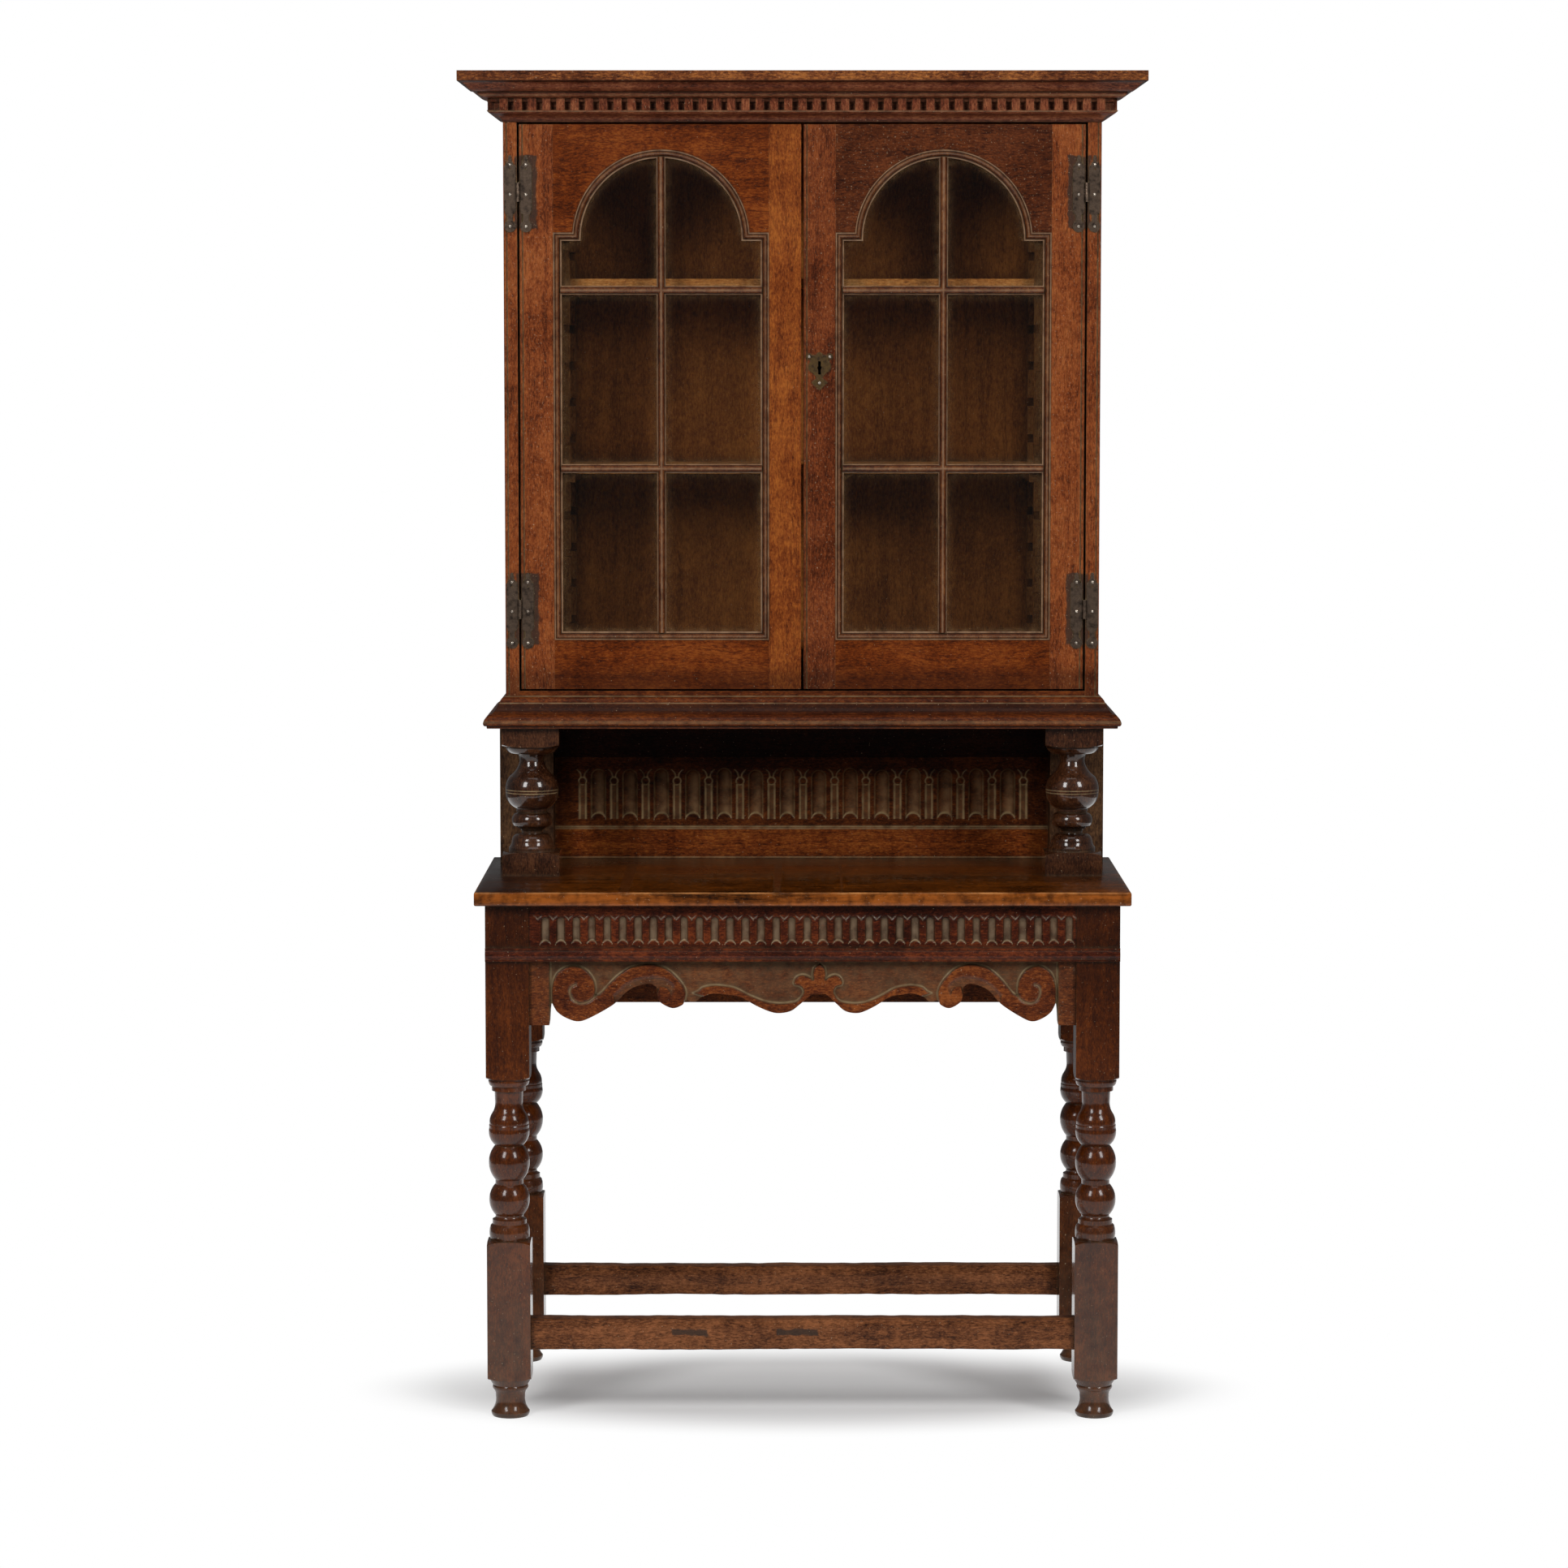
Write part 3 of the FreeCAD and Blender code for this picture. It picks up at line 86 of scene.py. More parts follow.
# Old oak under dark varnish: growth rings and short pores along the grain, fine specks of gloss, paler where
# edges have worn and along edges as a painted highlight, painted shade in the hollows, dust and wax in the
# corners. Sizes in mm; the 0.3 mm pores are drawn coarser to show.
oakGrain = {
    # how far a pattern is drawn out along the grain (0 where it is not), size, detail, roughness
    "patterns": {"figure": (0.05, 15, 8, 0.68), "rings": (0.05, 62, 1, 0.5), "pore": (0.12, 1.4, 2, 0.5),
                 "speck": (0.4, 2.2, 3, 0.8), "mottle": (0, 85, 5, 0.5), "chips": (0, 13, 5, 0.5),
                 "fleck": (0, 2.6, 2, 0.5)},
    "bendSize": 150, "bend": 0.02, "ringCount": 10,
    "shares": {"figure": 0.2, "mottle": 0.22, "speck": 0.42, "chips": 0.14, "late": -0.02},
    "stops": (0.39, 0.48, 0.57), "hollowShade": 26, "grimeTop": 330, "bandCore": 0.4, "dustRough": 0.4,
    "roughSpread": (-0.06, 0.1), "specular": 0.1, "bump": 0.35, "bumpDeep": 0.25,
}
# where a mask starts and ends on its pattern, its least and its most (from the look where it is missing)
oakMasks = {"late": (0.35, 1, 0, 1), "pore": (0.5, 0.6, 0), "crowded": (0, 1, 0.45, 0.9),
            "hollowShade": (0.85, 0.35, 0), "rubbed": (0.4, 0.6, 0, 1), "kept": (0.36, 0.58, 0.3, 1),
            "edge": (0.985, 0.8, 0, 1), "chipped": (0.42, 0.62, 0.1), "corner": (0.72, 0.3, 0),
            "settled": (0.32, 0.6, 0.4, 1), "fleck": (0.76, 0, 0.6), "rough": (0.3, 0.7)}
# the hollow colour is painted shade; the pale edge colour paints worn varnish and a highlight along edges;
# black paints dark patches and shade in quirks, hollows and under overhangs
oakStains = {"pore": "#2c160c", "soot": "#352b24", "hollowShade": "#54402f", "golden": "#9c541c",
             "paleWearAndHighlight": "#9a6c42", "black": "#220e06", "fleck": "#b39a7c"}
# dark patches, as boxes (x, z, half width, half height)
hingeStains = {"mirror": True, "boxes": [(361, 1586, 15, 47), (361, 1042, 15, 47)]}
stretcherStains = {"mirror": False, "boxes": [(-146, 113, 24, 4.5), (-6, 113, 27, 4.5)]}
stainEdge = {"ragged": 9, "soft": (5.2, 3.4), "dark": 0.85}
# bands at a height: (middle, half, amount, kind)
doorFoot = (938, 34, 0.5, "blackened")
oakPlain = {"pores": 0.4, "rough": 0.42, "coat": 0.12, "gloss": 0.12, "wearAndHighlight": 0.5, "edge": 0.9, "dust": 0.3,
            "corner": 7, "hollowShade": 0.75, "grime": 0, "flecks": 0.7, "dustTone": "#6f5b45",
            "waxTone": "#9a8462", "stains": None, "bands": []}
oakLooks = {
    "oakDoor": {"tones": ("#3b1604", "#6b2e0a", "#8c4716"), "pores": 0.55, "rough": 0.4, "bands": [doorFoot]},
    "oakDoorDark": {"tones": ("#2a1007", "#50250f", "#70391a"), "pores": 0.55, "rough": 0.4, "flecks": 0.63},
    "oakKeyed": {"tones": ("#3a180a", "#6c3317", "#8e4b24"), "pores": 0.55, "rough": 0.4, "flecks": 0.63,
        "wearAndHighlight": 0.7, "dust": 0.7, "corner": 4, "dustTone": "#9c8763", "bands": [doorFoot]},
    "oakStile": {"tones": ("#4e2008", "#803e16", "#a45c22"), "pores": 0.45, "bands": [doorFoot]},
    "oakStage": {"tones": ("#481c08", "#803c14", "#a85e24"), "pores": 0.6,
        "bands": [(730.6, 1.6, 0.75, "wax"), (691.2, 1.4, 0.5, "wax")]},
    "oakHingeSide": {"tones": ("#4c210d", "#813f1c", "#9e592c"), "pores": 0.55, "flecks": 0.63, "wearAndHighlight": 0.9,
        "dust": 0.9, "corner": 4, "dustTone": "#9c8763", "stains": hingeStains, "bands": [doorFoot]},
    "oakCornice": {"tones": ("#36170b", "#723923", "#9a5d3c"), "pores": 0.5, "rough": 0.4, "coat": 0.1,
        "wearAndHighlight": 0.6, "dust": 0.45, "hollowShade": 0.3,
        # dark bands: painted shade under the top board, in the crease above the ovolo and under the bed
        # mould; pale bands: painted highlights on the ovolo's edge and across the dentils
        "bands": [(1726.4, 1.8, 0.75, "blackened"), (1713, 2, 0.7, "blackened"), (1709.6, 1.4, 0.3, "wax"),
                  (1689.4, 1.2, 0.35, "wax"), (1677.6, 2.4, 0.6, "blackened")]},
    "oakGolden": {"tones": ("#38190d", "#703c1f", "#ac6a32"), "pores": 0.6, "coat": 0.15, "wearAndHighlight": 0.7,
        "dust": 0.2},
    "oakBase": {"tones": ("#2c0e04", "#52240e", "#7c3e16"), "rough": 0.36, "gloss": 0.16, "wearAndHighlight": 0.6,
        "dust": 0.35,
        # dark bands: painted shade in the upper hollow and under the nose; pale bands: fine lines at the
        # fillet and the joint with the rail, and a painted highlight along the nose
        "bands": [(912, 9, 0.75, "blackened"), (918.4, 0.9, 0.6, "wax"), (927, 1.2, 0.5, "wax"),
                  (894.5, 3, 0.25, "wax"), (888.8, 1.4, 0.8, "blackened")]},
    "oakTop": {"tones": ("#1e0d02", "#4b2405", "#7c400f"), "rough": 0.3, "coat": 0.45, "wearAndHighlight": 0.6,
        "edge": 1.6, "dust": 0.2, "waxTone": "#b87a42"},
    "oakTurned": {"tones": ("#311204", "#4c2106", "#6a320c"), "pores": 0.35, "rough": 0.32, "coat": 0.65,
        "wearAndHighlight": 0.35, "dust": 0.5, "grime": 0.3, "bands": [(660, 150, 0.4, "blackened")]},
    "oakColumn": {"tones": ("#1c0d06", "#3b2012", "#5d3821"), "pores": 0.35, "rough": 0.28, "coat": 1.0,
        "gloss": 0.09, "wearAndHighlight": 0.35, "dust": 0.5, "bands": [(802, 0.8, 1, "wax"), (798.2, 0.8, 1, "wax")]},
    "oakPost": {"tones": ("#24160e", "#48301f", "#68492f"), "rough": 0.4, "coat": 0.1, "dust": 0.4},
    "oakLow": {"tones": ("#33190d", "#6c3f23", "#955c37"), "pores": 0.6, "rough": 0.45, "coat": 0.1,
        "wearAndHighlight": 0.7, "edge": 2.0, "dust": 0.4, "stains": stretcherStains},
    "oakFrieze": {"tones": ("#210b05", "#461b0c", "#733416"), "pores": 0.3, "rough": 0.36, "coat": 0.2,
        "dust": 0.4, "dustTone": "#7c6852", "waxTone": "#b09a78"},
    "oakCarved": {"tones": ("#32140a", "#622e14", "#904e22"), "pores": 0.3, "rough": 0.38, "coat": 0.25,
        "wearAndHighlight": 0.4, "dust": 0.4, "dustTone": "#614d37"},
    # dust and wax drawn paler on this board, as painted light lifting the shade of the stage
    "oakShade": {"tones": ("#2a1106", "#56270d", "#84451a"), "coat": 0.1, "wearAndHighlight": 0.3, "dust": 0.35,
        "dustTone": "#a47e58", "waxTone": "#c8ab7c"},
    # a darker copy of the oak: painted shade for the rail and soffit deep under the cabinet
    "oakShadowed": {"tones": ("#180805", "#2e140c", "#442011"), "pores": 0.3, "rough": 0.45, "coat": 0.05,
        "wearAndHighlight": 0.2, "dust": 0.1},
    "oakSticking": {"tones": ("#2e1107", "#582b12", "#784722"), "pores": 0.3, "rough": 0.34, "coat": 0.4,
        "gloss": 0.1, "wearAndHighlight": 0.9, "edge": 0.45, "dust": 0.6, "corner": 4, "waxTone": "#a88a6c"},
    # inside the cabinet: paler bare wood, with tones raised further as painted light against the shade behind
    # the glass
    "oakUpright": {"tones": ("#5e3417", "#86552a", "#a06e3e"), "rough": 0.6, "coat": 0.0, "wearAndHighlight": 0.3,
        "dust": 0.2, "hollowShade": 0.3},
    "oakShelf": {"tones": ("#8e5224", "#c07a3a", "#dc9c58"), "rough": 0.6, "coat": 0.0, "wearAndHighlight": 0.3,
        "dust": 0.2, "hollowShade": 0.3},
    "oakInside": {"tones": ("#643613", "#885022", "#a2662e"), "rough": 0.65, "coat": 0.0, "wearAndHighlight": 0.3},
}


def stainMask(tree, place, stains, ragged):
    # soft-edged patches on the front
    axes = addNode(tree, "ShaderNodeSeparateXYZ", Vector=place)
    across = axes["X"]
    if stains["mirror"]:
        across = addNode(tree, "ShaderNodeMath", {"operation": "ABSOLUTE"}, i0=across)
    start, full = stainEdge["soft"]
    total = 0.0
    for x, z, halfX, halfZ in stains["boxes"]:
        off = axes["Y"]
        for value, middle, half in ((across, x, halfX), (axes["Z"], z, halfZ)):
            gap = addNode(tree, "ShaderNodeMath", {"operation": "SUBTRACT"}, i0=value, i1=middle * mm)
            gap = addNode(tree, "ShaderNodeMath", {"operation": "ABSOLUTE"}, i0=gap)
            gap = addNode(tree, "ShaderNodeMath", {"operation": "SUBTRACT"}, i0=gap, i1=half * mm)
            off = addNode(tree, "ShaderNodeMath", {"operation": "MAXIMUM"}, i0=gap, i1=off)
        off = addNode(tree, "ShaderNodeMath", {"operation": "MULTIPLY_ADD"}, i0=ragged,
                      i1=stainEdge["ragged"] * mm, i2=off)
        mask = addNode(tree, "ShaderNodeMapRange", {"span": (start * mm, full * mm, 0, stainEdge["dark"])},
                       Value=off)[0]
        total = addNode(tree, "ShaderNodeMath", {"operation": "MAXIMUM"}, i0=mask, i1=total)
    return total


def makeOak(look, axis):
    name = f"{look}{axis.upper()}"
    if name in bpy.data.materials:
        return bpy.data.materials[name]
    tones = {**oakPlain, **oakLooks[look]}
    material, tree = newMaterial(name)
    place = addNode(tree, "ShaderNodeTexCoord")["Object"]
    height = addNode(tree, "ShaderNodeSeparateXYZ", Vector=place)["Z"]
    painted = {key: addNode(tree, "ShaderNodeAttribute", {"attribute_name": key})["Fac"]
               for key in ("worn", "dust", "wax", "blackened")}

    # patterns on coordinates that are a little bent and drawn out along the grain
    drift = addNode(tree, "ShaderNodeTexNoise", Vector=place, Scale=1 / (oakGrain["bendSize"] * mm),
                    Detail=2.0)["Color"]
    bent = addNode(tree, "ShaderNodeVectorMath", {"operation": "MULTIPLY_ADD"}, i0=drift,
                   i1=[oakGrain["bend"]] * 3, i2=place)["Vector"]
    pattern = {}
    for key, (drawnOut, size, detail, roughness) in oakGrain["patterns"].items():
        run = place
        if drawnOut:
            scales = [drawnOut if a == axis else 1.0 for a in "xyz"]
            run = addNode(tree, "ShaderNodeMapping", Vector=bent, Scale=scales)
        pattern[key] = addNode(tree, "ShaderNodeTexNoise", Vector=run, Scale=1 / (size * mm), Detail=detail,
                               Roughness=roughness)["Fac"]
    years = addNode(tree, "ShaderNodeMath", {"operation": "MULTIPLY"}, i0=pattern["rings"],
                    i1=oakGrain["ringCount"])
    year = addNode(tree, "ShaderNodeMath", {"operation": "FRACT"}, i0=years)
    pattern["late"] = addNode(tree, "ShaderNodeMapRange", {"span": oakMasks["late"]}, Value=year)[0]
    mixed = 0.0
    for key, share in oakGrain["shares"].items():
        mixed = addNode(tree, "ShaderNodeMath", {"operation": "MULTIPLY_ADD"}, i0=pattern[key], i1=share,
                        i2=mixed)
    stops = [(spot, toLinear(tone)) for spot, tone in zip(oakGrain["stops"], tones["tones"])]
    wood = addNode(tree, "ShaderNodeValToRGB", {"stops": stops}, Fac=mixed)["Color"]

    # what lies over the wood, in order: mask, way of mixing, colour
    layers = []
    openPore = addNode(tree, "ShaderNodeMapRange", {"span": (*oakMasks["pore"], tones["pores"])},
                       Value=pattern["pore"])[0]
    crowded = addNode(tree, "ShaderNodeMapRange", {"span": oakMasks["crowded"]}, Value=pattern["late"])[0]
    pores = addNode(tree, "ShaderNodeMath", {"operation": "MULTIPLY"}, i0=openPore, i1=crowded)
    layers.append((pores, "MULTIPLY", oakStains["pore"]))
    if tones["stains"]:
        patches = stainMask(tree, place, tones["stains"], pattern["chips"])
        layers.append((patches, "MIX", oakStains["soot"]))

    # painted shade: the oak darkened in hollows and corners, where shade falls
    paintedHollowShade = addNode(tree, "ShaderNodeAmbientOcclusion", {"samples": 5},
                      Distance=oakGrain["hollowShade"] * mm)["AO"]
    paintedHollowShade = addNode(tree, "ShaderNodeMapRange", {"span": (*oakMasks["hollowShade"], tones["hollowShade"])},
                      Value=paintedHollowShade)[0]
    layers.append((paintedHollowShade, "MULTIPLY", oakStains["hollowShade"]))

    # golden where hands have rubbed the varnish off
    rubbed = addNode(tree, "ShaderNodeMapRange", {"span": oakMasks["rubbed"]}, Value=pattern["figure"])[0]
    kept = addNode(tree, "ShaderNodeMapRange", {"span": oakMasks["kept"]}, Value=pattern["chips"])[0]
    rubbed = addNode(tree, "ShaderNodeMath", {"operation": "MULTIPLY"}, i0=rubbed, i1=kept)
    rubbed = addNode(tree, "ShaderNodeMath", {"operation": "MULTIPLY"}, i0=rubbed, i1=painted["worn"])
    layers.append((rubbed, "MIX", oakStains["golden"]))

    # worn edges, with a painted highlight along them: where the rounded normal leaves the true one
    rounded = addNode(tree, "ShaderNodeBevel", {"samples": 4}, Radius=tones["edge"] * mm)
    trueNormal = addNode(tree, "ShaderNodeNewGeometry")["Normal"]
    agree = addNode(tree, "ShaderNodeVectorMath", {"operation": "DOT_PRODUCT"}, i0=rounded,
                    i1=trueNormal)["Value"]
    edge = addNode(tree, "ShaderNodeMapRange", {"span": oakMasks["edge"]}, Value=agree)[0]
    chipped = addNode(tree, "ShaderNodeMapRange", {"span": (*oakMasks["chipped"], tones["wearAndHighlight"])},
                      Value=pattern["chips"])[0]
    wearAndHighlight = addNode(tree, "ShaderNodeMath", {"operation": "MULTIPLY"}, i0=edge, i1=chipped)
    layers.append((wearAndHighlight, "MIX", oakStains["paleWearAndHighlight"]))

    # black, dust and wax: dust in corners and low on the legs; bands and the pieces' own attributes add dark
    # patches and painted shade in hollows, quirks and under overhangs, and pale wax, dust and painted
    # highlights
    for middle, half, amount, kind in tones["bands"]:
        off = addNode(tree, "ShaderNodeMath", {"operation": "SUBTRACT"}, i0=height, i1=middle * mm)
        off = addNode(tree, "ShaderNodeMath", {"operation": "ABSOLUTE"}, i0=off)
        span = (half * mm, half * oakGrain["bandCore"] * mm, 0, amount)
        band = addNode(tree, "ShaderNodeMapRange", {"span": span}, Value=off)[0]
        painted[kind] = addNode(tree, "ShaderNodeMath", {"operation": "MAXIMUM"}, i0=painted[kind], i1=band)
    openness = addNode(tree, "ShaderNodeAmbientOcclusion", {"samples": 5},
                       Distance=tones["corner"] * mm)["AO"]
    dust = addNode(tree, "ShaderNodeMapRange", {"span": (*oakMasks["corner"], tones["dust"])},
                   Value=openness)[0]
    dust = addNode(tree, "ShaderNodeMath", {"operation": "MAXIMUM"}, i0=dust, i1=painted["dust"])
    if tones["grime"]:
        span = (oakGrain["grimeTop"] * mm, 0, 0, tones["grime"])
        low = addNode(tree, "ShaderNodeMapRange", {"span": span}, Value=height)[0]
        dust = addNode(tree, "ShaderNodeMath", {"operation": "MAXIMUM"}, i0=dust, i1=low)
    settled = addNode(tree, "ShaderNodeMapRange", {"span": oakMasks["settled"]}, Value=pattern["chips"])[0]
    dust = addNode(tree, "ShaderNodeMath", {"operation": "MULTIPLY"}, i0=dust, i1=settled)
    wax = addNode(tree, "ShaderNodeMath", {"operation": "MULTIPLY"}, i0=painted["wax"], i1=settled)
    layers += [(painted["blackened"], "MIX", oakStains["black"]), (dust, "MIX", tones["dustTone"]),
               (wax, "MIX", tones["waxTone"])]

    # a few pale flecks where the varnish has chipped
    fleck = addNode(tree, "ShaderNodeMapRange", {"span": (tones["flecks"], *oakMasks["fleck"])},
                    Value=pattern["fleck"])[0]
    layers.append((fleck, "MIX", oakStains["fleck"]))
    for mask, way, tone in layers:
        wood = addNode(tree, "ShaderNodeMix", {"data_type": "RGBA", "blend_type": way}, i0=mask, i6=wood,
                       i7=toLinear(tone))["Result"]

    smoothest, roughest = [tones["rough"] + spread for spread in oakGrain["roughSpread"]]
    rough = addNode(tree, "ShaderNodeMapRange", {"span": (*oakMasks["rough"], smoothest, roughest)},
                    Value=pattern["mottle"])[0]
    rough = addNode(tree, "ShaderNodeMath", {"operation": "MULTIPLY_ADD"}, i0=dust,
                    i1=oakGrain["dustRough"], i2=rough)
    relief = addNode(tree, "ShaderNodeMath", {"operation": "SUBTRACT"}, i0=pattern["speck"], i1=pores)
    bump = addNode(tree, "ShaderNodeBump", Height=relief, Strength=oakGrain["bump"],
                   Distance=oakGrain["bumpDeep"] * mm, Normal=rounded)
    shader = addNode(tree, "ShaderNodeBsdfPrincipled", Base_Color=wood, Roughness=rough, Normal=bump,
                     Specular_IOR_Level=oakGrain["specular"], Coat_Weight=tones["coat"],
                     Coat_Roughness=tones["gloss"])
    addNode(tree, "ShaderNodeOutputMaterial", Surface=shader)
    return material


# Hand-worked metal gone brown: brighter where it is rubbed, black in the corners. Sizes in mm; each metal
# has a dull and a rubbed colour and a roughness.
metalGrain = {"blotch": 6, "pits": 1.6, "edge": 0.6, "corner": 4, "stops": (0.32, 0.72),
              "grime": (0.9, 0.5, 0, 0.85), "grimeTone": "#1a1310", "rubbed": (0.3, 0.7),
              "roughSpread": (0.15, -0.08), "metallic": 0.8, "bump": 0.4, "bumpDeep": 0.3}
metals = {"forgedIron": ("#30261f", "#8a7462", 0.34), "nailIron": ("#7a6c60", "#d8ccbc", 0.24),
          "dullBronze": ("#3a2c1e", "#80643c", 0.4)}


def makeMetal(name):
    grain = metalGrain
    *colours, rough = metals[name]
    material, tree = newMaterial(name)
    place = addNode(tree, "ShaderNodeTexCoord")["Object"]
    blotch = addNode(tree, "ShaderNodeTexNoise", Vector=place, Scale=1 / (grain["blotch"] * mm),
                     Detail=5.0)["Fac"]
    pits = addNode(tree, "ShaderNodeTexNoise", Vector=place, Scale=1 / (grain["pits"] * mm),
                   Detail=2.0)["Fac"]
    rounded = addNode(tree, "ShaderNodeBevel", {"samples": 4}, Radius=grain["edge"] * mm)
    stops = [(spot, toLinear(colour)) for spot, colour in zip(grain["stops"], colours)]
    tone = addNode(tree, "ShaderNodeValToRGB", {"stops": stops}, Fac=blotch)["Color"]
    openness = addNode(tree, "ShaderNodeAmbientOcclusion", {"samples": 5},
                       Distance=grain["corner"] * mm)["AO"]
    grime = addNode(tree, "ShaderNodeMapRange", {"span": grain["grime"]}, Value=openness)[0]
    tone = addNode(tree, "ShaderNodeMix", {"data_type": "RGBA"}, i0=grime, i6=tone,
                   i7=toLinear(grain["grimeTone"]))["Result"]
    dull, shiny = [rough + spread for spread in grain["roughSpread"]]
    roughness = addNode(tree, "ShaderNodeMapRange", {"span": (*grain["rubbed"], dull, shiny)},
                        Value=blotch)[0]
    bump = addNode(tree, "ShaderNodeBump", Height=pits, Strength=grain["bump"],
                   Distance=grain["bumpDeep"] * mm, Normal=rounded)
    shader = addNode(tree, "ShaderNodeBsdfPrincipled", Base_Color=tone, Metallic=grain["metallic"],
                     Roughness=roughness, Normal=bump)
    addNode(tree, "ShaderNodeOutputMaterial", Surface=shader)
    return material


# Thin old sheet glass: clear, with dust lying along the edges of the panes. Sizes in mm.
paneGlass = {"film": 9, "corner": 14, "cornerDust": (0.85, 0.45, 0, 0.9), "patchy": (0.35, 0.65, 0.1, 0.7),
             "clear": "#f9f9f7", "dust": "#866848", "rough": 0.04, "ior": 1.4}


def makeGlass():
    material, tree = newMaterial("sheetGlass")
    place = addNode(tree, "ShaderNodeTexCoord")["Object"]
    film = addNode(tree, "ShaderNodeTexNoise", Vector=place, Scale=1 / (paneGlass["film"] * mm),
                   Detail=5.0)["Fac"]
    openness = addNode(tree, "ShaderNodeAmbientOcclusion", {"samples": 6},
                       Distance=paneGlass["corner"] * mm)["AO"]
    corner = addNode(tree, "ShaderNodeMapRange", {"span": paneGlass["cornerDust"]}, Value=openness)[0]
    patchy = addNode(tree, "ShaderNodeMapRange", {"span": paneGlass["patchy"]}, Value=film)[0]
    dirt = addNode(tree, "ShaderNodeMath", {"operation": "MULTIPLY"}, i0=corner, i1=patchy)
    inner = addNode(tree, "ShaderNodeNewGeometry")["Backfacing"]
    dirt = addNode(tree, "ShaderNodeMapRange", Value=inner, i3=dirt, i4=0.0)[0]
    clear = addNode(tree, "ShaderNodeBsdfTransparent", Color=toLinear(paneGlass["clear"]))
    gloss = addNode(tree, "ShaderNodeBsdfGlossy", Roughness=paneGlass["rough"])
    powder = addNode(tree, "ShaderNodeBsdfDiffuse", Color=toLinear(paneGlass["dust"]))
    edgeOn = addNode(tree, "ShaderNodeFresnel", IOR=paneGlass["ior"])
    pane = addNode(tree, "ShaderNodeMixShader", i0=edgeOn, i1=clear, i2=gloss)
    surface = addNode(tree, "ShaderNodeMixShader", i0=dirt, i1=pane, i2=powder)
    addNode(tree, "ShaderNodeOutputMaterial", Surface=surface)
    return material


# CAD nodes that keep their own shape: oak by finish and the way the grain runs, then metal and glass
oakNodes = {
    ("oakTurned", "z"): ("leg_front_left", "leg_front_right", "leg_back_left", "leg_back_right"),
    ("oakTurned", "y"): ("frame_pegs", "side_rails"),
    ("oakShade", "x"): ("back_rail",),
    ("oakFrieze", "x"): ("frieze_moulding",),
    ("oakColumn", "z"): ("stage_columns",),
    ("oakPost", "z"): ("rear_posts",),
    # painted shade: the darker oak for the rail and soffit under the cabinet
    ("oakShadowed", "x"): ("stage_top_rail", "soffit_board"),
    ("oakStage", "x"): ("stage_bottom_board",),
    ("oakHingeSide", "z"): ("cabinet_sides", "left_door_hinge_stile", "right_door_hinge_stile"),
    ("oakBase", "x"): ("cabinet_floor", "base_moulding_front"),
    ("oakBase", "y"): ("base_moulding_sides",),
    ("oakInside", "x"): ("cabinet_ceiling", "shelf_lower"),
    ("oakInside", "z"): ("back_boards",),
    ("oakGolden", "x"): ("top_board",),
    ("oakCornice", "x"): ("cornice_front",),
    ("oakCornice", "y"): ("cornice_sides",),
    ("oakCornice", "z"): ("dentils",),
    ("oakUpright", "z"): ("shelf_uprights",),
    ("oakUpright", "y"): ("shelf_bearers",),
    ("oakShelf", "x"): ("shelf_middle", "shelf_upper"),
    ("oakStile", "z"): ("left_door_meeting_stile",),
    ("oakKeyed", "z"): ("right_door_meeting_stile",),
    ("oakDoor", "x"): ("left_door_top_rail", "left_door_bottom_rail", "right_door_bottom_rail"),
    ("oakDoorDark", "x"): ("right_door_top_rail",),
}
metalNodes = {
    "forgedIron": ("frame_hinge_leaves", "left_door_hinge_leaves", "right_door_hinge_leaves", "hinge_pins",
                   "lock_case", "lock_keeper", "bolt_guides"),
    "nailIron": ("frame_hinge_nails", "left_door_nails", "right_door_nails", "lock_bolt", "top_bolt",
                 "bottom_bolt"),
    "dullBronze": ("escutcheon",),
}
finishes = [(makeOak(*finish), names) for finish, names in oakNodes.items()]
finishes += [(makeMetal(metal), names) for metal, names in metalNodes.items()]
finishes.append((makeGlass(), ("left_door_glass", "right_door_glass")))
print("materials made")
for material, names in finishes:
    for name in names:
        slots = nodes[name].data.materials
        slots.clear()
        slots.append(material)
print("CAD nodes dressed")


def addPiece(name, bm, material, body, replaced, sharpest=35):
    bmesh.ops.recalc_face_normals(bm, faces=bm.faces)
    mesh = bpy.data.meshes.new(name)
    bm.to_mesh(mesh)
    bm.free()
    mesh.materials.append(material)
    mesh.shade_smooth()
    mesh.set_sharp_from_angle(angle=math.radians(sharpest))
    piece = bpy.data.objects.new(name, mesh)
    scene.collection.objects.link(piece)
    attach(piece, body)
    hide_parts(*replaced)


def smoothThrough(points, steps=6):
    # a Catmull-Rom line through a few points
    ends = [points[0]] + list(points) + [points[-1]]
    line = []
    for p0, p1, p2, p3 in zip(*(np.array(ends[k:len(ends) - 3 + k], float) for k in range(4))):
        for t in np.arange(steps) / steps:
            line.append(tuple(0.5 * (2 * p1 + (p2 - p0) * t + (2 * p0 - 5 * p1 + 4 * p2 - p3) * t ** 2
                                     + (3 * p1 - p0 - 3 * p2 + p3) * t ** 3)))
    return line + [tuple(points[-1])]


def pathDistance(x, z, path, closed=False):
    nearest = np.full(x.shape, np.inf)
    for (ax, az), (bx, bz) in zip(path, path[1:] + (path[:1] if closed else [])):
        dx, dz = bx - ax, bz - az
        t = np.clip(((x - ax) * dx + (z - az) * dz) / max(dx * dx + dz * dz, 1e-12), 0, 1)
        nearest = np.minimum(nearest, np.hypot(x - ax - t * dx, z - az - t * dz))
    return nearest


